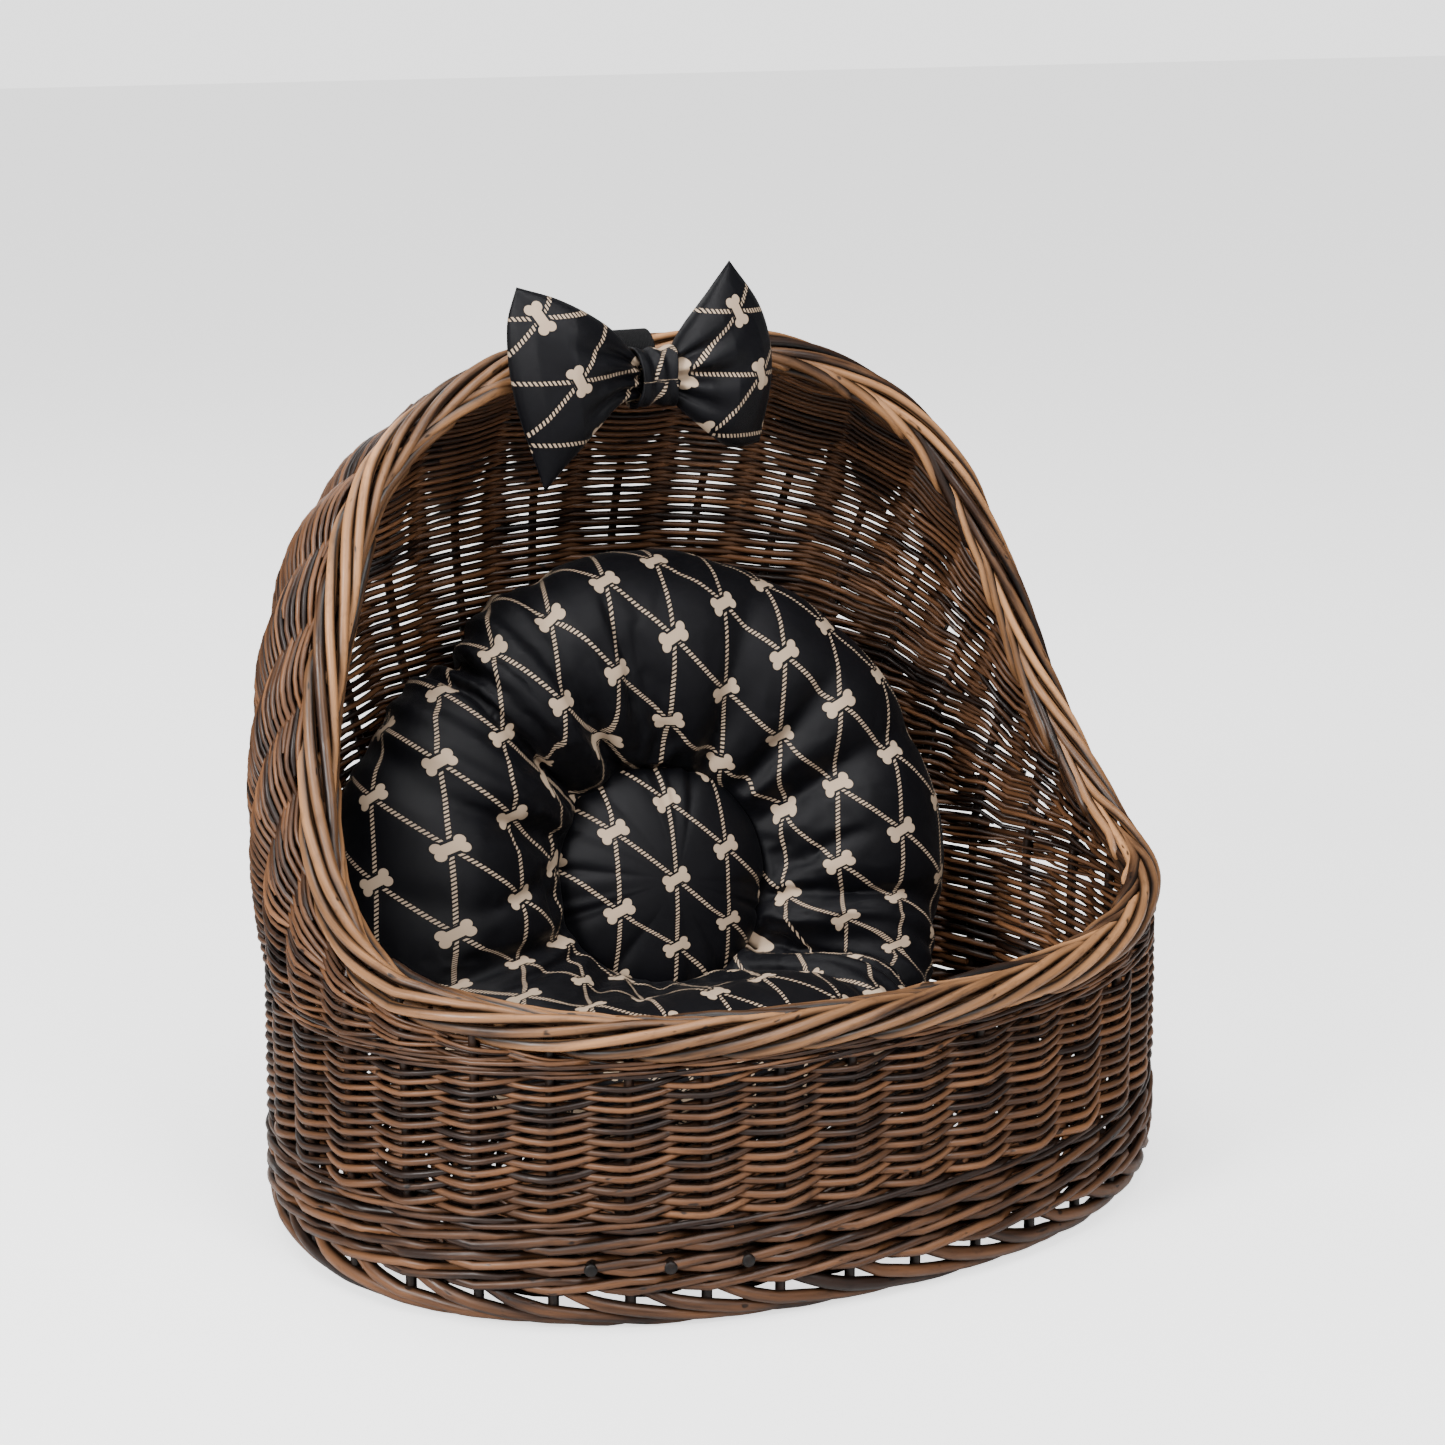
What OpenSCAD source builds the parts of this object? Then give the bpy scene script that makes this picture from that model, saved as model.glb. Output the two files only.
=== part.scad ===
// Hooded wicker pet bed with a loose ring cushion and a fabric bow.
// The front is towards -Y and +Z is up.  The basket stands on its foot border at z = 0.

/* [Basket] */
// Half the width of the oval base, at the middle of the wall
half_width = 300; // [240:1:360]
// Half the depth of the oval base, at the middle of the wall
half_depth = 225; // [190:1:260]
// Squareness of the oval: 2 is a true ellipse
oval_power = 2.2; // [2:0.05:2.5]
// Height of the centre of the rim border at the low front
front_height = 187; // [170:1:220]
// Height of the centre of the rim border at the top of the hood
hood_height = 548; // [480:1:620]
// Height where the low wall ends and the hood begins
shoulder_height = 174; // [160:1:180]
// Thickness of the rim border
border_d = 28; // [24:1:32]

/* [Willow] */
// Number of side stakes, a multiple of six
stake_count = 36; // [30:6:42]
// Diameter of a side stake
stake_d = 7; // [5:0.5:7.5]
// Thickness of the weavers on one side of the stakes
weaver_t = 4.5; // [3:0.5:6]
// Thickness of the waling rods on one side of the stakes
wale_t = 6; // [4:0.5:8]
// Diameter of the sticks that cross under the floor
base_stick_d = 11; // [10:0.5:14]
// Number of short sticks across the floor
short_sticks = 9; // [5:2:11]

/* [Heights] */
// Height of the foot border
foot_height = 18; // [14:1:24]
// Top of the woven floor
floor_top = 33; // [30:1:40]
// Bottom of the waling
wale_bottom = 26; // [24:1:34]
// Top of the waling
wale_top = 73; // [60:1:100]
// Height of the thin band at the shoulder
band_height = 10; // [6:1:14]

/* [Hood shape] */
// How far the hood swells out as it leaves the shoulder
hood_swell = 0.14; // [0:0.01:0.3]
// Length of the upright run at the bottom of a rib, as a share of its chord
rib_start_pull = 0.44; // [0.3:0.01:0.6]
// Length of the inward run at the top of a rib, as a share of its chord
rib_end_pull = 0.36; // [0.2:0.01:0.5]
// Steepness of a rib where it reaches the rim at the back
rib_end_rise = 0.12; // [0:0.01:1]

/* [Cushion] */
// Outside radius of the ring cushion
cushion_r = 227; // [200:1:240]
// Half the width of the ring
ring_half_w = 75; // [60:1:85]
// Half the thickness of the ring
ring_half_t = 50; // [35:1:55]
// Half the thickness of the centre pad
pad_half_t = 30; // [15:1:40]
// Front edge of the cushion from the middle of the base
cushion_front = -78; // [-100:1:-50]
// Length of cushion that lies on the floor
cushion_lie = 71; // [50:1:100]
// Radius of the bend where the cushion turns up
bend_r = 100; // [80:1:140]
// Angle that the cushion turns up through
lean_up = 75; // [60:1:85]
// Thickness of the cloth covers
cloth_t = 1.5; // [1:0.1:2]

/* [Bow] */
// Middle of the bow, sideways
bow_x = -10; // [-40:1:40]
// Drop of the knot's middle below the rim's centre
knot_drop = 11; // [5:1:20]
// Width of the knot band
knot_w = 30; // [24:1:36]
// Half the height of the knot band
knot_half_h = 21; // [18:0.5:26]
// Half the depth of the knot band
knot_half_d = 17; // [15:0.5:22]
// Width of the elastic strap
strap_w = 25; // [15:1:30]
// Thickness of the elastic strap
strap_t = 1.6; // [1:0.1:2]

/* [Hidden] */

gap = 0.3;                       // clearance between neighbouring pieces
stake_r = stake_d / 2;
border_r = border_d / 2;
skin_in = stake_r + gap;         // nearest a weaver comes to the middle of the wall
half_count = stake_count / 2;
low_count = half_count / 3;      // stakes in the low front on each side

willow = "#5a3a26";
willow_lit = "#8a5a38";
cloth_black = "#1b1b20";
wadding = "#e8e4da";

// ---------------------------------------------------------------- oval plan

// Point of the oval at an angle from the front, grown outwards by g
function oval(angle, g = 0) = [
    (half_width + g) * sign(sin(angle)) * pow(abs(sin(angle)), 2 / oval_power),
    -(half_depth + g) * sign(cos(angle)) * pow(abs(cos(angle)), 2 / oval_power)];

oval_step = 2;
oval_half = [for (a = [0 : oval_step : 180]) oval(a)];

// Running length along a list of points
function run_to(points, i) = i == 0 ? 0 : run_to(points, i - 1) + norm(points[i] - points[i - 1]);
oval_run = [for (i = [0 : len(oval_half) - 1]) run_to(oval_half, i)];
oval_table = [for (i = [0 : len(oval_half) - 1])
    [oval_run[i] / oval_run[len(oval_half) - 1], i * oval_step]];

// Plan point at a share of the half round, 0 at the front and 1 at the back
function wall_point(share) = oval(lookup(share, oval_table));

// ---------------------------------------------------------------- rim

// Stations of the hood's rim from the front corner to the top: shares of the half width,
// of the half depth and of the rise from the low front to the top
rim_shape = [[0.893, -0.467, 0.053], [0.933, -0.142, 0.136], [0.90, 0.107, 0.313],
             [0.81, 0.253, 0.59], [0.657, 0.382, 0.834], [0.367, 0.471, 0.978], [0, 0.507, 1]];
corner_share = 0.36;             // where the low front ends and the hood begins
hood_rise = hood_height - front_height;
rim_stations = [for (p = rim_shape)
    [p.x * half_width, p.y * half_depth, front_height + p.z * hood_rise]];
last_station = len(rim_stations) - 1;
before_corner = concat(wall_point(corner_share - 0.09), [front_height + 0.02 * hood_rise]);
ring_eye = [0, 0, 350];          // a point inside the rim's loop, which its corners are turned to

function station(i) = i < 0 ? before_corner
    : i > last_station ? [for (k = [0 : 2]) rim_stations[last_station - 1][k] * (k == 0 ? -1 : 1)]
    : rim_stations[i];

// Smooth curve through the stations
function smooth(p0, p1, p2, p3, f) = 0.5 * (2 * p1 + (p2 - p0) * f
    + (2 * p0 - 5 * p1 + 4 * p2 - p3) * f * f + (3 * p1 - p0 - 3 * p2 + p3) * f * f * f);
function rim_curve(t) = let (i = min(floor(t), last_station - 1))
    smooth(station(i - 1), station(i), station(i + 1), station(i + 2), t - i);

rim_steps = 60;
rim_samples = [for (i = [0 : rim_steps]) rim_curve(last_station * i / rim_steps)];
rim_run = [for (i = [0 : rim_steps]) run_to(rim_samples, i)];
rim_table = [for (i = [0 : rim_steps])
    [rim_run[i] / rim_run[rim_steps], last_station * i / rim_steps]];

// Low front of the rim: it follows the wall and rises a little to the corner
function front_rim(share) = let (
    f = share / corner_share,
    end = concat(wall_point(corner_share), [front_height]),
    miss = rim_stations[0] - end)
    concat(wall_point(share), [front_height]) + [miss.x * pow(f, 6), miss.y * pow(f, 6), miss.z * pow(f, 3)];
function rim_point(share) = share <= corner_share ? front_rim(share)
    : rim_curve(lookup((share - corner_share) / (1 - corner_share), rim_table));

// ---------------------------------------------------------------- hood surface

function unit(v) = v / norm(v);
function bezier(a, b, c, d, t) = a * pow(1 - t, 3) + 3 * b * pow(1 - t, 2) * t
    + 3 * c * (1 - t) * t * t + d * pow(t, 3);

side_lean = 1.2;                 // a rib reaches the rim leaning this much more sideways than back

// Point of the hood: share goes round the oval and t goes up from the shoulder to the rim
function hood_point(share, t) = let (
    p = wall_point(share),
    outward = unit(p),
    foot = [p.x, p.y, shoulder_height],
    head = rim_point(share),
    chord = norm(head - foot),
    leaving = unit([outward.x * hood_swell, outward.y * hood_swell, 1]),
    over = unit([-side_lean * outward.x, -outward.y, rib_end_rise]),
    turn = sqrt(max(0, (share - corner_share) / (1 - corner_share))),
    arriving = unit((1 - turn) * [0, 0, 1] + turn * over))
    bezier(foot, foot + leaving * chord * rib_start_pull, head - arriving * chord * rib_end_pull, head, t);

probe = 0.01;
function hood_normal(share, t) = let (
    s = min(share, 1 - probe),
    u = min(max(t, probe), 1 - probe))
    unit(cross(hood_point(s + probe, u) - hood_point(s - probe, u),
               hood_point(s, u + probe) - hood_point(s, u - probe)));

// Highest t at which a rib is still clear of the rim's centre line
rim_line = [for (i = [0 : 90]) rim_point(i / 90)];
function rim_distance(p) = min([for (q = rim_line) norm(p - q)]);
function stop_short(share, clear) = max([for (t = [0.04 : 0.02 : 1])
    rim_distance(hood_point(share, t)) > clear ? t : 0.04]);

function mirrored(p, side) = [side * p.x, p.y, p.z];

// The part is centred on its own box: the hood reaches further back than the rim does forward
back_reach = max([for (t = [0 : 0.05 : 1]) hood_point(1, t).y]) + skin_in + weaver_t;
front_reach = half_depth + border_r;
shift_y = (front_reach - back_reach) / 2;
module placed() translate([0, shift_y, 0]) children();

// ---------------------------------------------------------------- swept solids

// Closed solid through a row of loops with an even number of points each
module sweep(loops, ring = false) {
    rows = len(loops);
    n = len(loops[0]);
    sides = [for (i = [0 : rows - (ring ? 1 : 2)], j = [0 : n - 1]) each let (
        a = i * n + j,
        b = i * n + (j + 1) % n,
        c = ((i + 1) % rows) * n + (j + 1) % n,
        d = ((i + 1) % rows) * n + j)
        [[a, c, b], [a, d, c]]];
    last = (rows - 1) * n;
    caps = ring ? [] : [for (j = [0 : n / 2 - 2]) each [
        [j, n - 2 - j, n - 1 - j], [j, j + 1, n - 2 - j],
        [last + j, last + n - 1 - j, last + n - 2 - j], [last + j, last + n - 2 - j, last + j + 1]]];
    polyhedron(points = [for (loop = loops) each loop], faces = concat(sides, caps), convexity = 6);
}

// Round loop of n points about p, across the direction dir, started towards up
function round_loop(p, dir, up, r, n) = let (
    across = unit(cross(dir, up)),
    level = unit(cross(across, dir)))
    [for (k = [0 : n - 1]) p + r * (cos(360 * k / n) * level + sin(360 * k / n) * across)];

// Ring-shaped prism that follows the oval
module oval_ring(bottom, top, inner, outer) {
    translate([0, 0, bottom]) linear_extrude(top - bottom) difference() {
        polygon([for (a = [0 : 5 : 355]) oval(a, outer)]);
        polygon([for (a = [0 : 5 : 355]) oval(a, inner)]);
    }
}

// Weavers on both sides of the stakes
module woven_ring(bottom, top, thickness) {
    oval_ring(bottom, top, skin_in, skin_in + thickness);
    oval_ring(bottom, top, -skin_in - thickness, -skin_in);
}

function stake_share(i) = (i + 0.5) / half_count;

// ---------------------------------------------------------------- floor

floor_skin = 3.2;                // thickness of the floor's weavers above or below the sticks
base_z = floor_top - floor_skin - gap - base_stick_d / 2;
long_stick_d = 8;
long_pitch = long_stick_d + 0.6; // from one long stick to the next
base_edge = -skin_in - wale_t - 1;
stick_clear = 4;                 // from the end of a stick to the floor's edge
short_spread = 0.78 * half_width;
short_share = 0.96;              // length of a short stick, as a share of the oval there

module base_long_sticks() {
    color(willow) placed() for (row = [-1 : 1])
        translate([0, row * long_pitch, base_z]) rotate([0, 90, 0])
            cylinder(h = 2 * (half_width + base_edge - stick_clear), d = long_stick_d, center = true, $fn = 24);
}

// Each short stick is split in the middle, and the long sticks lie in the split
module base_short_sticks() {
    color(willow) placed() for (i = [0 : short_sticks - 1]) {
        x = short_spread * (2 * i / (short_sticks - 1) - 1);
        oval_y = half_depth * pow(1 - pow(abs(x) / half_width, oval_power), 1 / oval_power);
        reach = short_share * oval_y + base_edge - stick_clear;
        difference() {
            translate([x, 0, base_z]) rotate([90, 0, 0])
                cylinder(h = 2 * reach, d = base_stick_d, center = true, $fn = 24);
            translate([x, 0, base_z])
                cube([base_stick_d + 2, 3 * long_pitch + gap * 2, long_pitch], center = true);
        }
    }
}

// Weaving over and under the sticks
module base_weave() {
    half = base_stick_d / 2 + gap;
    color(willow) placed() for (z = [base_z + half, base_z - half - floor_skin])
        translate([0, 0, z]) linear_extrude(floor_skin) polygon([for (a = [0 : 5 : 355]) oval(a, base_edge)]);
}

foot_in = 10;                    // the foot border's edges, from the middle of the wall
foot_out = 6;
module foot_border() {
    color(willow_lit) placed() oval_ring(0, foot_height, -foot_in, foot_out);
}

module foot_stakes() {
    color(willow) placed() for (side = [-1, 1], i = [0 : half_count - 1])
        translate(concat(side * wall_point(stake_share(i)).x, wall_point(stake_share(i)).y, foot_height + 0.1))
            cylinder(h = wale_bottom - foot_height - 0.2, d = stake_d, $fn = 16);
}

// ---------------------------------------------------------------- low wall

module bottom_wale() {
    color(willow) placed() woven_ring(wale_bottom, wale_top, wale_t);
}

module side_weave() {
    color(willow) placed() woven_ring(wale_top + gap, shoulder_height - band_height - gap, weaver_t);
}

module shoulder_wale() {
    color(willow_lit) placed() woven_ring(shoulder_height - band_height, shoulder_height - 0.6, weaver_t + 0.8);
}

// The short stakes run straight up into the border
module front_stakes() {
    color(willow) placed() for (side = [-1, 1], i = [0 : low_count - 1]) {
        p = wall_point(stake_share(i));
        top = rim_point(stake_share(i)).z - border_r - 1;
        translate([side * p.x, p.y, wale_bottom]) cylinder(h = top - wale_bottom, d = stake_d, $fn = 16);
    }
}

// ---------------------------------------------------------------- hood

weave_rows = 9;
rim_clear = border_r + 6;        // the weave ends here, and the bow's strap passes through the gap
stake_clear = border_r + 2.5;    // the stakes end here

// Steps of t up a rib, the same for the weave and for the stake inside it
function rib_steps(share) = let (end = stop_short(share, rim_clear))
    [for (r = [0 : weave_rows]) end * r / weave_rows];

module hood_stakes() {
    n = 6;
    color(willow) placed() for (side = [-1, 1], i = [low_count : half_count - 1]) {
        share = stake_share(i);
        steps = concat(rib_steps(share), [stop_short(share, stake_clear)]);
        base = concat(wall_point(share), [wale_bottom]);
        loops = concat([round_loop(mirrored(base, side), [0, 0, 1], [side * base.x, base.y, 0], stake_r, n)],
            [for (t = steps) let (
                here = mirrored(hood_point(share, t), side),
                ahead = mirrored(hood_point(share, min(1, t + probe)), side),
                behind = mirrored(hood_point(share, max(0, t - probe)), side))
                round_loop(here, ahead - behind, mirrored(hood_normal(share, t), side), stake_r, n)]);
        sweep(loops);
    }
}

// Columns of the weave on each side, two to a stake, from the back to the front corner
weave_cols = stake_count - 2 * (low_count - 1);

// One layer of the hood's weave, between two distances from the middle of the wall
module hood_skin(near, far) {
    loops = [for (c = [-weave_cols : weave_cols]) let (
        side = c < 0 ? -1 : 1,
        share = 1 - abs(c) / stake_count,
        line = [for (t = rib_steps(share)) let (
            normal = hood_normal(share, t),
            level = t == 0 ? unit([normal.x, normal.y, 0]) : normal)
            [hood_point(share, t), c == 0 ? unit([0, level.y, level.z]) : level]])
        concat([for (q = line) mirrored(q[0] + far * q[1], side)],
               [for (r = [weave_rows : -1 : 0]) mirrored(line[r][0] + near * line[r][1], side)])];
    sweep(loops);
}

module hood_weave() {
    color(willow) placed() {
        hood_skin(skin_in, skin_in + weaver_t);
        hood_skin(-skin_in - weaver_t, -skin_in);
    }
}

module rim_border() {
    steps = 48;
    n = 12;
    loops = [for (i = [-steps : steps - 1]) let (
        side = i < 0 ? -1 : 1,
        share = abs(i) / steps,
        here = mirrored(rim_point(share), side),
        next = i + 1,
        prev = i - 1,
        ahead = mirrored(rim_point(min(1, abs(next) / steps)), next < 0 ? -1 : 1),
        behind = abs(prev) > steps ? mirrored(rim_point((steps - 1) / steps), 1)
            : mirrored(rim_point(abs(prev) / steps), prev < 0 ? -1 : 1))
        round_loop(here, ahead - behind, here - ring_eye, border_r, n)];
    color(willow_lit) placed() sweep(loops, ring = true);
}

// ---------------------------------------------------------------- cushion

lie_z = floor_top + 0.6 + ring_half_t;
bend_length = bend_r * lean_up * PI / 180;

// Side view of the cushion's middle surface, v along it from the front edge: [y, z, slope]
function lie_path(v) = v < cushion_lie ? [cushion_front + v, lie_z, 0]
    : v < cushion_lie + bend_length ? let (a = lean_up * (v - cushion_lie) / bend_length)
        [cushion_front + cushion_lie + bend_r * sin(a), lie_z + bend_r * (1 - cos(a)), a]
    : let (rest = v - cushion_lie - bend_length)
        [cushion_front + cushion_lie + bend_r * sin(lean_up) + rest * cos(lean_up),
         lie_z + bend_r * (1 - cos(lean_up)) + rest * sin(lean_up), lean_up];

// A point of the flat cushion, bent to lie on the floor and lean back
function bent(u, v, w) = let (p = lie_path(v + cushion_r))
    [u, p[0] - w * sin(p[2]), p[1] + w * cos(p[2])];

ring_mid_r = cushion_r - ring_half_w;
module ring_solid(half_w, half_t, around = 48, n = 16) {
    sweep([for (i = [0 : around - 1]) let (a = 360 * i / around)
        [for (k = [0 : n - 1]) let (b = 360 * k / n, r = ring_mid_r + half_w * cos(b))
            bent(r * sin(a), r * cos(a), half_t * sin(b))]], ring = true);
}

module pad_solid(radius, half_t, around = 24, n = 6) {
    ring_count = 2 * n - 1;
    rows = [for (k = [1 : ring_count], i = [0 : around - 1]) let (
        b = 180 * k / (2 * n), a = 360 * i / around)
        bent(radius * sin(b) * sin(a), radius * sin(b) * cos(a), half_t * cos(b))];
    top = len(rows);
    sides = [for (k = [0 : ring_count - 2], i = [0 : around - 1]) each let (
        a = k * around + i,
        b = k * around + (i + 1) % around,
        c = a + around,
        d = b + around)
        [[a, d, b], [a, c, d]]];
    lids = [for (i = [0 : around - 1]) each [
        [top, i, (i + 1) % around],
        [top + 1, (ring_count - 1) * around + (i + 1) % around, (ring_count - 1) * around + i]]];
    polyhedron(points = concat(rows, [bent(0, 0, half_t), bent(0, 0, -half_t)]),
               faces = concat(sides, lids), convexity = 4);
}

module ring_cover() {
    color(cloth_black) placed() difference() {
        ring_solid(ring_half_w, ring_half_t);
        ring_solid(ring_half_w - cloth_t, ring_half_t - cloth_t);
    }
}

module ring_filling() {
    color(wadding) placed() ring_solid(ring_half_w - cloth_t - gap, ring_half_t - cloth_t - gap);
}

pad_r = ring_mid_r - ring_half_w - 2;
module pad_cover() {
    color(cloth_black) placed() difference() {
        pad_solid(pad_r, pad_half_t);
        pad_solid(pad_r - cloth_t, pad_half_t - cloth_t);
    }
}

module pad_filling() {
    color(wadding) placed() pad_solid(pad_r - cloth_t - gap, pad_half_t - cloth_t - gap);
}

// ---------------------------------------------------------------- bow

rim_top = rim_stations[last_station];
knot_clear = 2.4;                // from the strap to the back of the knot
knot_at = [bow_x, rim_top.y - border_r - strap_t - knot_half_d - knot_clear, rim_top.z - knot_drop];

// Corners of a loop from the middle of the knot, with the radius at each: [x, y, z, r]
left_loop_shape = [[-90, 0, 57, 7], [-92, 0, 30, 11], [-74, 8, -63, 6],
    [-70, -3, 0, 18], [-13, 0, 8, 7], [-13, 0, -8, 7]];
right_loop_shape = [[53, 0, 67, 6], [76, 0, 30, 11], [74, 5, -44, 8],
    [58, -3, 2, 18], [13, 0, 6, 6.6], [13, 0, -6, 6.6]];

module loop_solid(shape, inset) {
    translate(knot_at) hull() for (p = shape)
        translate([p[0], p[1], p[2]]) sphere(r = p[3] - inset, $fn = 20);
}

module loop_cover(shape) {
    color(cloth_black) placed() difference() {
        loop_solid(shape, 0);
        loop_solid(shape, cloth_t);
    }
}

module bow_loop_left() {
    loop_cover(left_loop_shape);
}

module bow_loop_right() {
    loop_cover(right_loop_shape);
}

module bow_filling_left() {
    color(wadding) placed() loop_solid(left_loop_shape, cloth_t + gap);
}

module bow_filling_right() {
    color(wadding) placed() loop_solid(right_loop_shape, cloth_t + gap);
}

// Rounded outline of the knot band, made of a square and four quarter rounds
module knot_outline(half_h, half_d, corner) {
    square([2 * half_h, 2 * (half_d - corner)], center = true);
    square([2 * (half_h - corner), 2 * half_d], center = true);
    for (a = [-1, 1], b = [-1, 1])
        translate([a * (half_h - corner), b * (half_d - corner)]) circle(r = corner, $fn = 32);
}

module bow_knot() {
    band_t = 2.4;
    corner = 10;
    color(cloth_black) placed() translate(knot_at) rotate([0, 90, 0])
        linear_extrude(knot_w, center = true) difference() {
            knot_outline(knot_half_h, knot_half_d, corner);
            knot_outline(knot_half_h - band_t, knot_half_d - band_t, corner - band_t);
        }
}

// Elastic strap: a round loop about the rim border, through the gap above the hood's weave
module bow_strap() {
    strap_r = border_r + 0.8;
    color(cloth_black) placed() translate([bow_x, rim_top.y, rim_top.z]) rotate([0, 90, 0]) difference() {
        cylinder(h = strap_w, r = strap_r + strap_t, center = true, $fn = 48);
        cylinder(h = strap_w + 1, r = strap_r, center = true, $fn = 48);
    }
}

base_long_sticks();
base_short_sticks();
base_weave();
foot_border();
foot_stakes();
bottom_wale();
front_stakes();
hood_stakes();
side_weave();
shoulder_wale();
hood_weave();
rim_border();
ring_cover();
ring_filling();
pad_cover();
pad_filling();
bow_loop_left();
bow_loop_right();
bow_filling_left();
bow_filling_right();
bow_knot();
bow_strap();
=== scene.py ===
"""Looks of the hooded wicker pet bed: woven willow basket, ring cushion and fabric bow.

Metres, in the frame of the CAD part: the front is towards -Y and +Z is up.
"""

import math

import bpy
import numpy as np
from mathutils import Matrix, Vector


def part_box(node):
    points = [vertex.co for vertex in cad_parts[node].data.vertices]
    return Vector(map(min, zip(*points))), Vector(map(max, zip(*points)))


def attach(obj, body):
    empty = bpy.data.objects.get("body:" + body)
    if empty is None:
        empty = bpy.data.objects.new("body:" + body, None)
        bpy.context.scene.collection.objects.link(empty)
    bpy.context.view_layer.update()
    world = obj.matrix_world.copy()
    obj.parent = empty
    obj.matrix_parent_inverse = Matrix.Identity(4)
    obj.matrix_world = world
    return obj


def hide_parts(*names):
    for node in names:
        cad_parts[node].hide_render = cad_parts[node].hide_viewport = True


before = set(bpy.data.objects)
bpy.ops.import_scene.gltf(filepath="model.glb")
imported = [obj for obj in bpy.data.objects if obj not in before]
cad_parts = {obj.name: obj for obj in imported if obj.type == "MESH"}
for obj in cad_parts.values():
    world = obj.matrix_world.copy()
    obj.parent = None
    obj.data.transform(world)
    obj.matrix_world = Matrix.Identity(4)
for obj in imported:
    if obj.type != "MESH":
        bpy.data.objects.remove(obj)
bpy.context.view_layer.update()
rng = np.random.default_rng(36)

# ------------------------------------------------------------------ sizes

HALF_WIDTH = 0.300
HALF_DEPTH = 0.225
OVAL_POWER = 2.2
FRONT_HEIGHT = 0.187
HOOD_HEIGHT = 0.548
SHOULDER_HEIGHT = 0.174
BORDER_R = 0.014
STAKES = 36
STAKE_R = 0.0035
BAND_HEIGHT = 0.010
WALE_BOTTOM = 0.026
WALE_TOP = 0.073
FLOOR_TOP = 0.033
SHIFT_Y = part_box("rim_border")[0].y + HALF_DEPTH + BORDER_R

# ------------------------------------------------------------------ camera

CAMERA_TARGET = np.array([0.0, SHIFT_Y, 0.300])
CAMERA_TURN = math.radians(-27)
CAMERA_RISE = math.radians(15.116)
CAMERA_DISTANCE = 2.0


def add_camera():
    away = np.array([math.sin(CAMERA_TURN) * math.cos(CAMERA_RISE),
                     -math.cos(CAMERA_TURN) * math.cos(CAMERA_RISE),
                     math.sin(CAMERA_RISE)])
    data = bpy.data.cameras.new("camera")
    data.lens = 75.2
    data.sensor_width = 36
    data.shift_x = 0.0026
    data.shift_y = 0.0173
    camera = bpy.data.objects.new("camera", data)
    camera.location = CAMERA_TARGET + CAMERA_DISTANCE * away
    camera.rotation_euler = (math.pi / 2 - CAMERA_RISE, 0, CAMERA_TURN)
    bpy.context.scene.collection.objects.link(camera)
    bpy.context.scene.camera = camera


add_camera()

# ------------------------------------------------------------------ basket surface


def unit(v):
    return v / np.maximum(np.linalg.norm(v, axis=-1, keepdims=True), 1e-12)


def oval(angle, grow=0.0):
    s, c = np.sin(angle), np.cos(angle)
    power = 2 / OVAL_POWER
    return np.stack([(HALF_WIDTH + grow) * np.sign(s) * np.abs(s) ** power,
                     -(HALF_DEPTH + grow) * np.sign(c) * np.abs(c) ** power], -1)


OVAL_ANGLES = np.radians(np.arange(0, 181, 2))
OVAL_RUN = np.concatenate([[0], np.cumsum(np.linalg.norm(np.diff(oval(OVAL_ANGLES), axis=0), axis=1))])
HALF_ROUND = OVAL_RUN[-1]
OVAL_RUN = OVAL_RUN / HALF_ROUND


def wall_point(share):
    return oval(np.interp(share, OVAL_RUN, OVAL_ANGLES))


def at_height(plan, z):
    height = np.broadcast_to(np.asarray(z, float)[..., None], plan.shape[:-1] + (1,))
    return np.concatenate([plan, height], -1)


RIM_SHAPE = np.array([[0.893, -0.467, 0.053], [0.933, -0.142, 0.136], [0.90, 0.107, 0.313],
                      [0.81, 0.253, 0.59], [0.657, 0.382, 0.834], [0.367, 0.471, 0.978], [0, 0.507, 1]])
CORNER_SHARE = 0.36
HOOD_RISE = HOOD_HEIGHT - FRONT_HEIGHT
RIM_STATIONS = RIM_SHAPE * [HALF_WIDTH, HALF_DEPTH, HOOD_RISE] + [0, 0, FRONT_HEIGHT]
LAST_STATION = len(RIM_STATIONS) - 1
BEFORE_CORNER = at_height(wall_point(np.array([CORNER_SHARE - 0.09])), FRONT_HEIGHT + 0.02 * HOOD_RISE)
RIM_GUIDE = np.concatenate([BEFORE_CORNER, RIM_STATIONS, RIM_STATIONS[-2:-1] * [-1, 1, 1]])


def rim_curve(t):
    i = np.clip(np.floor(t).astype(int), 0, LAST_STATION - 1)
    f = (t - i)[..., None]
    p0, p1, p2, p3 = RIM_GUIDE[i], RIM_GUIDE[i + 1], RIM_GUIDE[i + 2], RIM_GUIDE[i + 3]
    return 0.5 * (2 * p1 + (p2 - p0) * f + (2 * p0 - 5 * p1 + 4 * p2 - p3) * f * f
                  + (3 * p1 - p0 - 3 * p2 + p3) * f ** 3)


RIM_T = np.linspace(0, LAST_STATION, 61)
RIM_RUN = np.concatenate([[0], np.cumsum(np.linalg.norm(np.diff(rim_curve(RIM_T), axis=0), axis=1))])
RIM_RUN = RIM_RUN / RIM_RUN[-1]
CORNER_MISS = RIM_STATIONS[0] - at_height(wall_point(np.array(CORNER_SHARE)), FRONT_HEIGHT)


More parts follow.
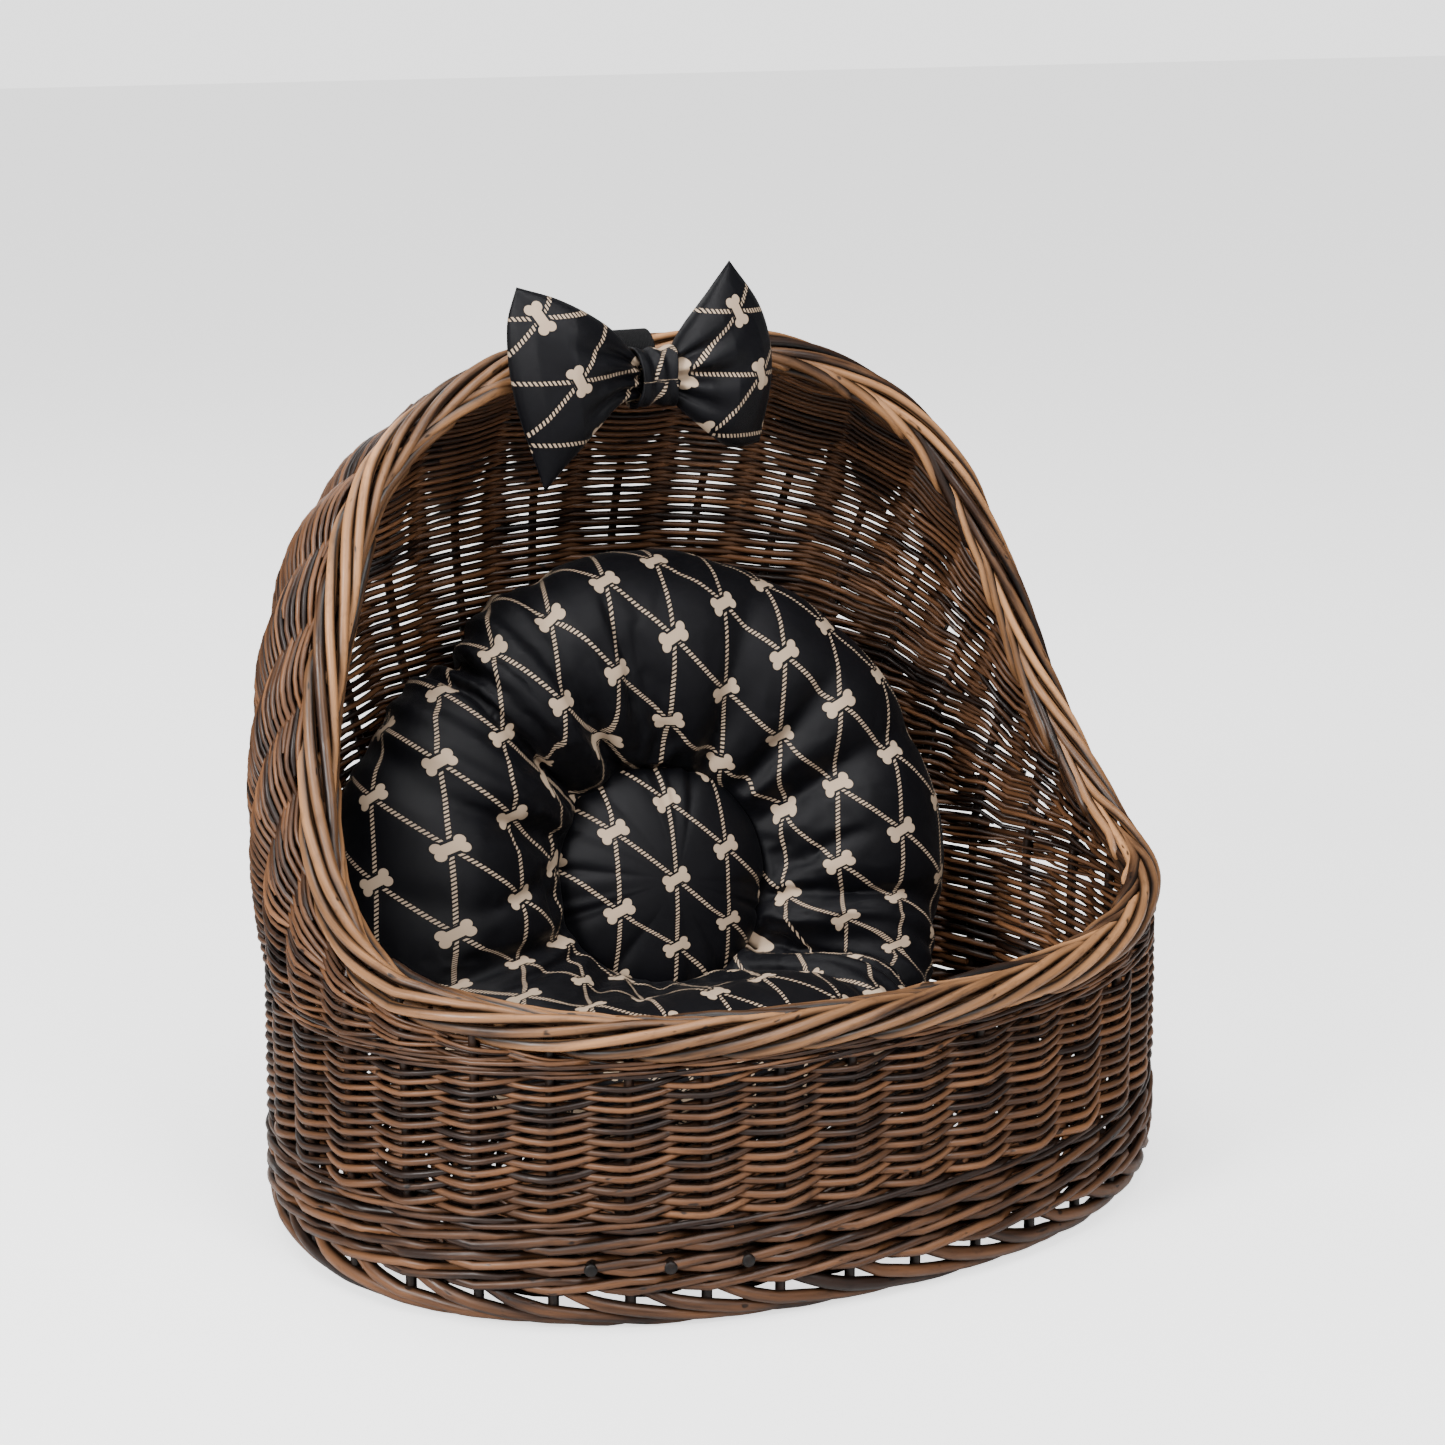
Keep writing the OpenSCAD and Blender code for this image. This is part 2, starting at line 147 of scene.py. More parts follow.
def rim_point(share):
    share = np.asarray(share, float)
    f = np.clip(share / CORNER_SHARE, 0, 1)[..., None]
    miss = CORNER_MISS * np.concatenate([f ** 6, f ** 6, f ** 3], -1)
    front = at_height(wall_point(share), FRONT_HEIGHT) + miss
    hood = rim_curve(np.interp((share - CORNER_SHARE) / (1 - CORNER_SHARE), RIM_RUN, RIM_T))
    return np.where((share <= CORNER_SHARE)[..., None], front, hood)


HOOD_SWELL = 0.14
RIB_START_PULL = 0.44
RIB_END_PULL = 0.36
RIB_END_RISE = 0.12
SIDE_LEAN = 1.2


def hood_half(share, t):
    """Point of the hood on the +X half: share goes round from the front, t goes up to the rim."""
    plan = wall_point(share)
    outward = unit(plan)
    foot = at_height(plan, SHOULDER_HEIGHT)
    head = rim_point(share)
    chord = np.linalg.norm(head - foot, axis=-1, keepdims=True)
    leaving = unit(np.concatenate([outward * HOOD_SWELL, np.ones_like(chord)], -1))
    over = unit(np.concatenate([outward * [-SIDE_LEAN, -1], np.full_like(chord, RIB_END_RISE)], -1))
    turn = np.sqrt(np.clip((share - CORNER_SHARE) / (1 - CORNER_SHARE), 0, 1))[..., None]
    arriving = unit((1 - turn) * [0, 0, 1] + turn * over)
    t = np.asarray(t)[..., None]
    b, c = foot + leaving * chord * RIB_START_PULL, head - arriving * chord * RIB_END_PULL
    return foot * (1 - t) ** 3 + 3 * b * (1 - t) ** 2 * t + 3 * c * (1 - t) * t * t + head * t ** 3


def round_share(stake):
    """Share and side of a place counted in stakes round the whole basket, ccw from the front."""
    f = ((np.asarray(stake, float) + 0.5) / STAKES) % 1.0
    return 1 - np.abs(1 - 2 * f), np.where(f < 0.5, 1.0, -1.0)


def placed(points, side):
    return points * np.stack([side, np.ones_like(side), np.ones_like(side)], -1) + [0, SHIFT_Y, 0]


PROBE = 0.02


def low_wall(stake, z):
    """Point and outward normal of the low wall."""
    def plan(s):
        share, side = round_share(s)
        return wall_point(share) * np.stack([side, np.ones_like(side)], -1)
    ahead = plan(stake + PROBE) - plan(stake - PROBE)
    normal = unit(np.stack([ahead[..., 1], -ahead[..., 0], np.zeros(ahead.shape[:-1])], -1))
    return at_height(plan(stake), z) + [0, SHIFT_Y, 0], normal


def hood_at(stake, t):
    share, side = round_share(stake)
    return placed(hood_half(share, t), side)


def hood_wall(stake, t):
    """Point and outward normal of the hood."""
    stake, t = np.broadcast_arrays(np.asarray(stake, float), np.asarray(t, float))
    u = np.clip(t, PROBE, 1 - PROBE)
    along = hood_at(stake + PROBE, u) - hood_at(stake - PROBE, u)
    up = hood_at(stake, u + PROBE) - hood_at(stake, u - PROBE)
    return hood_at(stake, t), unit(np.cross(along, up))


def rim_at(stake):
    share, side = round_share(stake)
    return placed(rim_point(share), side)


def rim_frame(stake):
    """Centre of the rim border, its outward direction and the direction of its free edge."""
    stake = np.asarray(stake, float)
    ahead = unit(rim_at(stake + 0.3) - rim_at(stake - 0.3))
    share = round_share(stake)[0]
    rib = unit(hood_at(stake, np.full_like(stake, 1.0)) - hood_at(stake, np.full_like(stake, 0.96)))
    blend = np.clip((share - 0.25) / 0.12, 0, 1)[..., None]
    rib = unit(rib * blend + np.array([0, 0, 1.0]) * (1 - blend))
    edge = unit(rib - ahead * np.sum(rib * ahead, -1, keepdims=True))
    return rim_at(stake), np.cross(ahead, edge), edge


# ------------------------------------------------------------------ rods


class Rods:
    """Willow rods gathered into one mesh, with what each point needs for its bark."""

    def __init__(self):
        self.co, self.faces, self.bark, self.tone, self.count = [], [], [], [], 0

    def add(self, path, radius, facing, sides=6, tone=None, round_start=False):
        """A rod along a path, with closed ends; facing is the way its outer side looks."""
        path = np.asarray(path, float)
        radius = np.broadcast_to(np.asarray(radius, float), (len(path),))
        facing = np.broadcast_to(facing, path.shape)
        if round_start:
            back = unit(path[0] - path[1]) * radius[0]
            path = np.concatenate([[path[0] + 0.9 * back, path[0] + 0.6 * back], path])
            radius = np.concatenate([radius[:1] * 0.45, radius[:1] * 0.85, radius])
            facing = np.concatenate([facing[:1], facing[:1], facing])
        n = len(path)
        ahead = unit(np.gradient(path, axis=0))
        across = unit(np.cross(ahead, facing))
        outer = np.cross(across, ahead)
        turn = 2 * np.pi * np.arange(sides) / sides
        ring = np.cos(turn)[None, :, None] * outer[:, None] + np.sin(turn)[None, :, None] * across[:, None]
        co = path[:, None] + radius[:, None, None] * ring
        run = np.concatenate([[0], np.cumsum(np.linalg.norm(np.diff(path, axis=0), axis=1))])
        start = rng.uniform(0, 40)
        bark = np.stack([np.broadcast_to((run + start)[:, None], (n, sides)),
                         radius[:, None] * np.cos(turn), radius[:, None] * np.sin(turn)], -1)
        if tone is None:
            tone = rng.normal(0.52, 0.11)
        i, j = np.meshgrid(np.arange(n - 1), np.arange(sides), indexing="ij")
        a, b = i * sides + j, i * sides + (j + 1) % sides
        quads = np.stack([a, b, b + sides, a + sides], -1).reshape(-1, 4) + self.count
        self.co.append(co.reshape(-1, 3))
        self.bark.append(bark.reshape(-1, 3))
        self.tone.append(np.full(n * sides, np.clip(tone, 0, 1)))
        self.faces += quads.tolist()
        first = list(range(self.count, self.count + sides))
        last = [v + (n - 1) * sides for v in first]
        self.faces += [first[::-1], last]
        self.count += n * sides

    def piece(self, name, material, *nodes):
        """Makes the piece, which stands for the CAD nodes named."""
        mesh = bpy.data.meshes.new(name)
        mesh.from_pydata(np.concatenate(self.co).tolist(), [], self.faces)
        mesh.attributes.new("bark", "FLOAT_VECTOR", "POINT").data.foreach_set(
            "vector", np.concatenate(self.bark).ravel().astype(np.float32))
        mesh.attributes.new("tone", "FLOAT", "POINT").data.foreach_set(
            "value", np.concatenate(self.tone).astype(np.float32))
        obj = bpy.data.objects.new(name, mesh)
        bpy.context.scene.collection.objects.link(obj)
        bpy.ops.object.select_all(action="DESELECT")
        bpy.context.view_layer.objects.active = obj
        obj.select_set(True)
        bpy.ops.object.shade_smooth_by_angle(angle=math.radians(70))
        mesh.materials.append(material)
        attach(obj, "basket")
        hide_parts(*nodes)
        return obj


def wobble(count, size, knots=8):
    """Slow random bends along a rod."""
    places = np.linspace(0, 1, knots)
    return np.interp(np.linspace(0, 1, count), places, rng.normal(0, size, knots))


# ------------------------------------------------------------------ materials


def new_group(name, inputs, outputs):
    group = bpy.data.node_groups.new(name, "ShaderNodeTree")
    for label, kind, value in inputs:
        socket = group.interface.new_socket(label, in_out="INPUT", socket_type=kind)
        socket.default_value = value
    for label, kind in outputs:
        group.interface.new_socket(label, in_out="OUTPUT", socket_type=kind)
    return group, group.nodes.new("NodeGroupInput"), group.nodes.new("NodeGroupOutput")


class Wiring:
    """Short names for adding nodes to a tree and joining them."""

    def __init__(self, tree):
        self.tree = tree

    def put(self, node, socket, value):
        target = node.inputs[socket]
        if isinstance(value, bpy.types.NodeSocket):
            self.tree.links.new(value, target)
        else:
            target.default_value = value

    def node(self, kind, out=0, settings=None, **inputs):
        node = self.tree.nodes.new(kind)
        for key, value in (settings or {}).items():
            setattr(node, key, value)
        for key, value in inputs.items():
            label = key.replace("_", " ")
            self.put(node, int(key[1:]) if key[0] == "i" and key[1:].isdigit() else label, value)
        return node.outputs[out]

    def math(self, operation, a, b=0.0, c=0.0):
        return self.node("ShaderNodeMath", settings={"operation": operation}, i0=a, i1=b, i2=c)

    def times(self, a, b):
        return self.math("MULTIPLY", a, b)

    def plus(self, a, b):
        return self.math("ADD", a, b)

    def minus(self, a, b):
        return self.math("SUBTRACT", a, b)

    def vector(self, operation, a, b=(0, 0, 0)):
        return self.node("ShaderNodeVectorMath", settings={"operation": operation}, i0=a, i1=b)

    def mix(self, share, a, b, blend="MIX"):
        return self.node("ShaderNodeMix", out=2, settings={"data_type": "RGBA", "blend_type": blend},
                         i0=share, i6=a, i7=b)

    def spread(self, value, low, high, to_low=0.0, to_high=1.0):
        return self.node("ShaderNodeMapRange", i0=value, i1=low, i2=high, i3=to_low, i4=to_high)

    def noise(self, place, scale, detail=2.0, rough=0.5):
        return self.node("ShaderNodeTexNoise", Vector=place, Scale=scale, Detail=detail, Roughness=rough)


def bark_group():
    """Stained willow bark: streaks along the rod, small knots, a different shade for each rod, and painted
    shade on the flanks of each rod where it meets its neighbours.
    """
    color, value = "NodeSocketColor", "NodeSocketFloat"
    group, inside, outside = new_group(
        "willow bark",
        [("Dark", color, (0.02, 0.01, 0.006, 1)), ("Brown", color, (0.11, 0.05, 0.025, 1)),
         ("Worn", color, (0.32, 0.17, 0.09, 1)), ("Wear", value, 0.5)],
        [("Color", color), ("Roughness", value), ("Height", value)])
    w = Wiring(group)
    bark = w.node("ShaderNodeAttribute", out=1, settings={"attribute_name": "bark"})
    tone = w.node("ShaderNodeAttribute", out=2, settings={"attribute_name": "tone"})
    streak = w.noise(w.vector("MULTIPLY", bark, (18, 330, 330)), 1.0, 3.0, 0.6)
    slow = w.noise(w.vector("MULTIPLY", bark, (9, 40, 40)), 1.0, 2.0, 0.5)
    grime = w.noise(w.vector("MULTIPLY", bark, (70, 150, 150)), 1.0, 3.0, 0.65)
    shade = w.plus(w.times(tone, 0.75), w.times(slow, 0.55))
    shade = w.plus(shade, w.times(streak, 0.35))
    body = w.mix(w.spread(shade, 0.35, 1.05), inside.outputs["Dark"], inside.outputs["Brown"])
    worn = w.spread(w.plus(shade, w.times(inside.outputs["Wear"], 0.5)), 0.85, 1.35)
    body = w.mix(worn, body, inside.outputs["Worn"])
    knots = w.noise(w.vector("MULTIPLY", bark, (85, 210, 210)), 1.0, 1.0, 0.5)
    knot = w.spread(knots, 0.70, 0.755)
    body = w.mix(w.times(knot, 0.85), body, inside.outputs["Dark"])
    body = w.mix(w.spread(grime, 0.55, 0.8, 0.0, 0.55), body, inside.outputs["Dark"])
    # Painted shade: the flanks of each rod, where it meets the rods beside it, are darkened towards Dark
    flat = w.vector("MULTIPLY", bark, (0, 1, 1))
    size = w.node("ShaderNodeVectorMath", out=1, settings={"operation": "LENGTH"}, i0=flat)
    axes = w.tree.nodes.new("ShaderNodeSeparateXYZ")
    w.put(axes, 0, flat)
    facing_clear_of_gaps = w.math("ABSOLUTE", w.math("DIVIDE", axes.outputs[1], w.math("MAXIMUM", size, 0.0001)))
    body = w.mix(w.spread(facing_clear_of_gaps, 0.08, 0.94, 0.97, 0.0), body, inside.outputs["Dark"])
    rough = w.spread(w.plus(streak, grime), 0.7, 1.4, 0.32, 0.60)
    grain = w.plus(streak, w.times(slow, 0.5))
    height = w.minus(grain, w.times(knot, 0.6))
    w.put(outside, "Color", body)
    w.put(outside, "Roughness", rough)
    w.put(outside, "Height", height)
    return group


def new_material(name):
    material = bpy.data.materials.new(name)
    material.use_nodes = True
    return material, Wiring(material.node_tree), material.node_tree.nodes["Principled BSDF"]


def add_group(w, group, **inputs):
    node = w.tree.nodes.new("ShaderNodeGroup")
    node.node_tree = group
    for key, value in inputs.items():
        w.put(node, key, value)
    return node


def bump(w, height, distance, strength=1.0):
    return w.node("ShaderNodeBump", Height=height, Distance=distance, Strength=strength)


BARK = bark_group()


def willow(name, dark, brown, worn, wear, coat=0.0):
    material, w, shader = new_material(name)
    bark = add_group(w, BARK, Dark=dark, Brown=brown, Worn=worn, Wear=wear)
    w.put(shader, "Base Color", bark.outputs["Color"])
    w.put(shader, "Roughness", bark.outputs["Roughness"])
    w.put(shader, "Normal", bump(w, bark.outputs["Height"], 0.0004, 0.6))
    shader.inputs["Specular IOR Level"].default_value = 0.24
    shader.inputs["Coat Weight"].default_value = coat
    shader.inputs["Coat Roughness"].default_value = 0.35
    return material


weaver_willow = willow("weaver willow", (0.0012, 0.0007, 0.0005, 1), (0.024, 0.0094, 0.0044, 1),
                       (0.225, 0.098, 0.041, 1), 0.29)
wale_willow = willow("wale willow", (0.0012, 0.0007, 0.0005, 1), (0.026, 0.0102, 0.0048, 1),
                     (0.210, 0.092, 0.039, 1), 0.26)
border_willow = willow("border willow", (0.0016, 0.0009, 0.0006, 1), (0.056, 0.0225, 0.0098, 1),
                       (0.430, 0.210, 0.090, 1), 0.44, 0.05)
stake_willow = willow("stake willow", (0.0016, 0.0010, 0.0007, 1), (0.012, 0.0055, 0.003, 1),
                      (0.05, 0.022, 0.012, 1), 0.1)

# ------------------------------------------------------------------ low wall


def stakes():
    """Stakes of the wall: upright in the low front, and bent over with the hood behind it."""
    rods, low = Rods(), Rods()
    for i in range(STAKES):
        share = round_share(i)[0]
        low_path, _ = low_wall(np.full(3, float(i)), np.linspace(0.012, WALE_BOTTOM + 0.004, 3))
        _, normal = low_wall(np.array([float(i)]), 0.1)
        low.add(low_path, STAKE_R, normal, 8, 0.4)
        up, normal = low_wall(np.full(4, float(i)), np.linspace(WALE_BOTTOM, SHOULDER_HEIGHT - 0.002, 4))
        if share < CORNER_SHARE:
            top = rim_at(np.array([float(i)]))[0]
            path = np.concatenate([up, [top - [0, 0, 0.004]]])
            normal = np.concatenate([normal, normal[-1:]])
        else:
            t = np.linspace(0.03, 0.985, 26)
            rib, rib_normal = hood_wall(np.full(26, float(i)), t)
            path, normal = np.concatenate([up, rib]), np.concatenate([normal, rib_normal])
        rods.add(path, np.linspace(STAKE_R, STAKE_R * 0.85, len(path)), normal, 8)
    rods.piece("stakes", stake_willow, "front_stakes", "hood_stakes")
    low.piece("foot_stakes_shown", stake_willow, "foot_stakes")


RAND_LEVELS = 24
RAND_TOP = SHOULDER_HEIGHT - BAND_HEIGHT + 0.001
NEAR_STAKE = np.array([0, 0.12, 0.30, 0.50, 0.70, 0.88])


def steps_between(first, last):
    """Places along a rod in stakes, closer together where it bends at a stake."""
    return np.concatenate([(np.arange(first, last)[:, None] + NEAR_STAKE).ravel(), [last]])


def rand_height(level):
    f = level / RAND_LEVELS
    return WALE_TOP + 0.002 + (RAND_TOP - WALE_TOP - 0.003) * (1.18 * f - 0.18 * f * f)


def side_rand():
    """Randing of the low wall: one rod from each stake, rising a level at every stake."""
    rods = Rods()
    m = steps_between(0, RAND_LEVELS)
    levels = np.arange(RAND_LEVELS + 1)
    level = np.interp(m, levels, levels - (levels % 2) * 0.95)
    for k in range(STAKES):
        butt = rng.uniform(0.0026, 0.0031)
        radius = np.interp(m, [0, RAND_LEVELS], [butt, butt * 0.66])
        z = rand_height(level) + wobble(len(m), 0.0004, RAND_LEVELS)
        point, normal = low_wall(k + m, z)
        depth = -(STAKE_R + radius * 0.9) * np.cos(np.pi * m)
        rods.add(point + normal * depth[:, None], radius, normal)
    rods.piece("side_randing", weaver_willow, "side_weave")


def wale_rods(rods, bottom, rod_d, courses, pieces):
    """Three-rod waling: each rod goes in front of two stakes and behind the third."""
    for course in range(courses):
        for j in range(3):
            cuts = np.sort(rng.choice(np.arange(1, STAKES // 3), pieces, replace=False)) * 3 + j + 2
            for n, start in enumerate(cuts):
                end = cuts[(n + 1) % pieces] + (STAKES if n == pieces - 1 else 0)
                at = steps_between(int(start), int(end))
                place = (at - j) % 3
                z = bottom + rod_d * (2 * course + np.interp(place, [0, 1, 2, 3], [0.5, 1.5, 1.1, 0.5]))
                depth = np.interp(place, [0, 0.5, 1, 1.3, 1.7, 2, 2.3, 2.7, 3],
                                  [1, 1.08, 1, 0.75, -0.75, -1, -0.75, 0.75, 1])
                butt = 0.5 * rod_d * rng.uniform(0.96, 1.1)
                radius = np.linspace(butt, butt * 0.86, len(at))
                z = z + wobble(len(at), rod_d * 0.05, 10)
                point, normal = low_wall(at, z)
                rods.add(point + normal * (depth * (STAKE_R + radius))[:, None], radius, normal, 8)


# Cut rod ends that show in the waling: their places in stakes, and their shape going outwards
CUT_ENDS = (31.5, 32.5, 33.5)
CUT_END_OUT = np.array([[0.002], [0.006], [0.0106], [0.0112]])
CUT_END_R = (0.0040, 0.0042, 0.0042, 0.0036)


def bottom_waling():
    rods = Rods()
    wale_rods(rods, WALE_BOTTOM - 0.001, 0.0066, 3, 3)
    wale_rods(rods, WALE_BOTTOM + 0.0386, 0.0045, 1, 3)
    for stake in CUT_ENDS:
        point, normal = low_wall(np.full(4, stake), WALE_BOTTOM + 0.018)
        rods.add(point + normal * CUT_END_OUT, CUT_END_R, np.array([0, 0, 1.0]), 10, 0.0)
    rods.piece("bottom_waling", wale_willow, "bottom_wale")


def shoulder_band():
    rods = Rods()
    wale_rods(rods, SHOULDER_HEIGHT - BAND_HEIGHT, 0.0029, 2, 3)
    rods.piece("shoulder_waling", wale_willow, "shoulder_wale")


def foot():
    """Foot border: each stake end is turned down, laid in front of two stakes and tucked under."""
    rods = Rods()
    along = np.array([0, 0.2, 0.5, 0.9, 1.4, 1.9, 2.4, 2.8, 3.1])
    height = np.array([0.030, 0.0255, 0.0195, 0.0145, 0.0105, 0.0075, 0.0058, 0.0055, 0.0060])
    depth = np.array([-0.001, 0.0015, 0.0035, 0.0035, 0.0015, -0.001, -0.0035, -0.006, -0.008])
    fine = np.linspace(0, 3.1, 22)
    for k in range(STAKES):
        radius = np.interp(fine, [0, 0.6, 3.1], [0.0040, 0.0048, 0.0040]) * rng.uniform(0.92, 1.06)
        z = np.maximum(np.interp(fine, along, height) + wobble(22, 0.0005), radius + 0.0002)
        point, normal = low_wall(k + rng.uniform(-0.06, 0.06) + fine, z)
        rods.add(point + normal * np.interp(fine, along, depth)[:, None], radius, normal, 8)
    rods.piece("foot_rods", wale_willow, "foot_border")


# ------------------------------------------------------------------ hood

HOOD_ROWS = 128
HOOD_PITCH = 0.0032
RIM_GAP = 0.0155


def rib_length(stake):
    t = np.linspace(0, 1, 33)
    points = hood_at(np.repeat(stake[:, None], 33, 1), np.broadcast_to(t, (len(stake), 33)))
    steps = np.linalg.norm(np.diff(points, axis=1), axis=2)
    return t, np.concatenate([np.zeros((len(stake), 1)), np.cumsum(steps, 1)], 1)


def zigzag(places):
    """1 at even places and -1 at odd ones, and straight between them."""
    whole = np.floor(places)
    return (1 - 2 * (whole % 2)) * (1 - 2 * (places - whole))


def drop_order(count):
    """Numbers from 0 to 1 that spread evenly, so that the rows that stop short are well mixed."""
    return np.array([sum((q >> b & 1) / 2 ** (b + 1) for b in range(8)) for q in range(count)])


def hood_rows():
    """Randing of the hood: rows in pairs, of which some stop short where the ribs crowd together."""
    stake = steps_between(2, STAKES - 3)
    t, run = rib_length(stake)
    length = run[:, -1]
    top = np.array([np.interp(length[i] - RIM_GAP, run[i], t) for i in range(len(stake))])
    share = np.clip((length - RIM_GAP) / (length.max() - RIM_GAP), 0, 1)
    pairs = HOOD_ROWS // 2
    order = np.repeat(drop_order(pairs) * 0.97, 2)
    weight = np.clip((share[:, None] - order[None]) / 0.05 + 0.5, 0, 1)
    total = weight.sum(1)
    rise = (np.cumsum(weight, 1) - 0.5 * weight) / total[:, None] * top[:, None]
    pitch = (length - RIM_GAP) / total
    rods = Rods()
    for row in range(HOOD_ROWS):
        shown = np.flatnonzero(weight[:, row] > 0.12)
        if len(shown) < 8:
            continue
        begin = shown[0]
        while begin < shown[-1] - 6:
            span = int(rng.integers(8, 13)) * len(NEAR_STAKE)
            end = min(begin + span, shown[-1])
            if shown[-1] - end < 2 * len(NEAR_STAKE):
                end = shown[-1]
            part = slice(begin, end + 1)
            at = stake[part]
            count = len(at)
            butt = rng.uniform(0.0021, 0.0026)
            radius = np.linspace(butt, butt * 0.80, count)
            if rng.random() < 0.5:
                radius = radius[::-1]
            crowding = np.clip(pitch[part] / HOOD_PITCH, 0.8, 1.1)
            radius = radius * crowding * np.clip(weight[part, row] * 1.6, 0.6, 1)
            sag = (0.42 - 0.18 * rise[part, row]) * top[part] / total[part] * zigzag(at + row)
            point, normal = hood_wall(at, np.clip(rise[part, row] - sag + wobble(count, 0.0006, 12), 0, 1))
            depth = (STAKE_R + radius * 0.9) * np.cos(np.pi * (at + row))
            rods.add(point + normal * depth[:, None], radius, normal)
            begin = end - 3
            if end == shown[-1]:
                break
    rods.piece("hood_randing", weaver_willow, "hood_weave")


# ------------------------------------------------------------------ rim border


def rim_stroke(rods, start, along, turn, reach, radius, tone=None, round_start=False):
    """A rod wound on the rim border: its angle round the rim and distance from its middle along it."""
    if tone is None:
        tone = rng.normal(0.48, 0.20)
    reach = reach + rng.uniform(-0.0009, 0.0009) + wobble(len(along), 0.0005, 8)
    reach = np.minimum(reach, BORDER_R + 0.0018 - radius)
    centre, outward, edge = rim_frame(start + along)
    turn = np.radians(turn)
    facing = np.cos(turn)[:, None] * outward + np.sin(turn)[:, None] * edge
    rods.add(centre + facing * reach[:, None], radius, facing, 8, tone, round_start)


def rim():
    """Rim border: each stake end is laid outside in a long slanting stroke, rises over the edge,
    and is held by the hooks that the next stakes make along the inner edge."""
    rods = Rods()
    for k in range(STAKES):
        butt = rng.uniform(0.0036, 0.0043)
        at = k + rng.uniform(-0.08, 0.08)
        along = np.linspace(0, 4.1, 36)
        turn = np.interp(along, [0, 0.12, 0.4, 0.9, 1.6, 2.6, 3.4, 4.1],
                         [-112, -92, -68, -40, -6, 42, 80, 108])
        reach = np.interp(along, [0, 0.12, 0.4, 1.0, 3.2, 4.1],
                          [0.0072, 0.0104, 0.0110, 0.0106, 0.0092, 0.0052])
        rim_stroke(rods, at, along, turn, reach, np.linspace(butt, butt * 0.82, 36), round_start=True)
        hook = rng.uniform(0.0038, 0.0044)
        along = np.concatenate([[0, 0.04, 0.08, 0.13, 0.2], np.linspace(0.3, 2.2, 18)])
        turn = np.interp(along, [0, 0.06, 0.16, 0.4, 1.2, 2.2], [206, 176, 152, 136, 122, 104])
        reach = np.interp(along, [0, 0.06, 0.16, 0.4, 1.3, 2.2],
                          [0.0060, 0.0088, 0.0106, 0.0106, 0.0092, 0.0052])
        rim_stroke(rods, at + 0.35, along, turn, reach, np.linspace(hook, hook * 0.85, 23), round_start=True)
        if k % 2 == 0:
            along = np.linspace(0, 5.4, 30)
            turn = np.interp(along, [0, 5.4], [158, 262])
            reach = np.interp(along, [0, 0.6, 4.8, 5.4], [0.0070, 0.0092, 0.0092, 0.0070])
            rim_stroke(rods, at, along, turn, reach, np.full(30, 0.0040), 0.3)
    rods.piece("rim_rods", border_willow, "rim_border")


# ------------------------------------------------------------------ floor


def floor_of_basket():
    """Floor: short sticks threaded by long ones, with pairs of rods woven round them."""
    for node in ("base_long_sticks", "base_short_sticks"):
        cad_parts[node].data.materials.clear()
        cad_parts[node].data.materials.append(stick_willow)
    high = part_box("base_weave")[1]
    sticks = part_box("base_short_sticks")
    middle = (sticks[0].z + sticks[1].z) / 2
    spread = sticks[1].x - 0.0055
    places = np.linspace(-spread, spread, 9)
    edge = high.x - 0.001
    rods = Rods()
    fine = np.linspace(0, 2 * np.pi, 181)
    ring_count = 26
    for ring in range(ring_count):
        grow = edge - HALF_WIDTH - 0.0072 * ring
        if HALF_DEPTH + grow < 0.018:
            break
        plan = oval(fine, grow)
        knots = np.concatenate([[-(HALF_WIDTH + grow)], places[np.abs(places) < HALF_WIDTH + grow],
                                [HALF_WIDTH + grow]])
        counted = np.interp(plan[:, 0], knots, np.arange(len(knots)) + 0.5)
        phase = np.where(plan[:, 1] < 0, counted, 2 * len(knots) - counted - 1)
        for half in (0, 1):
            z = middle + 0.0068 * np.cos(np.pi * (phase + half + ring))
            path = at_height(plan, z)[:-1] + [0, SHIFT_Y, 0]
            rods.add(np.concatenate([path, path[:2]]), 0.0021, np.array([0, 0, 1.0]), 6)
    rods.piece("floor_randing", weaver_willow, "base_weave")


stick_willow = willow("stick willow", (0.006, 0.003, 0.002, 1), (0.035, 0.015, 0.008, 1),
                      (0.09, 0.04, 0.022, 1), 0.1)

stakes()
side_rand()
bottom_waling()
shoulder_band()
foot()
hood_rows()
rim()
floor_of_basket()

# ------------------------------------------------------------------ cloth


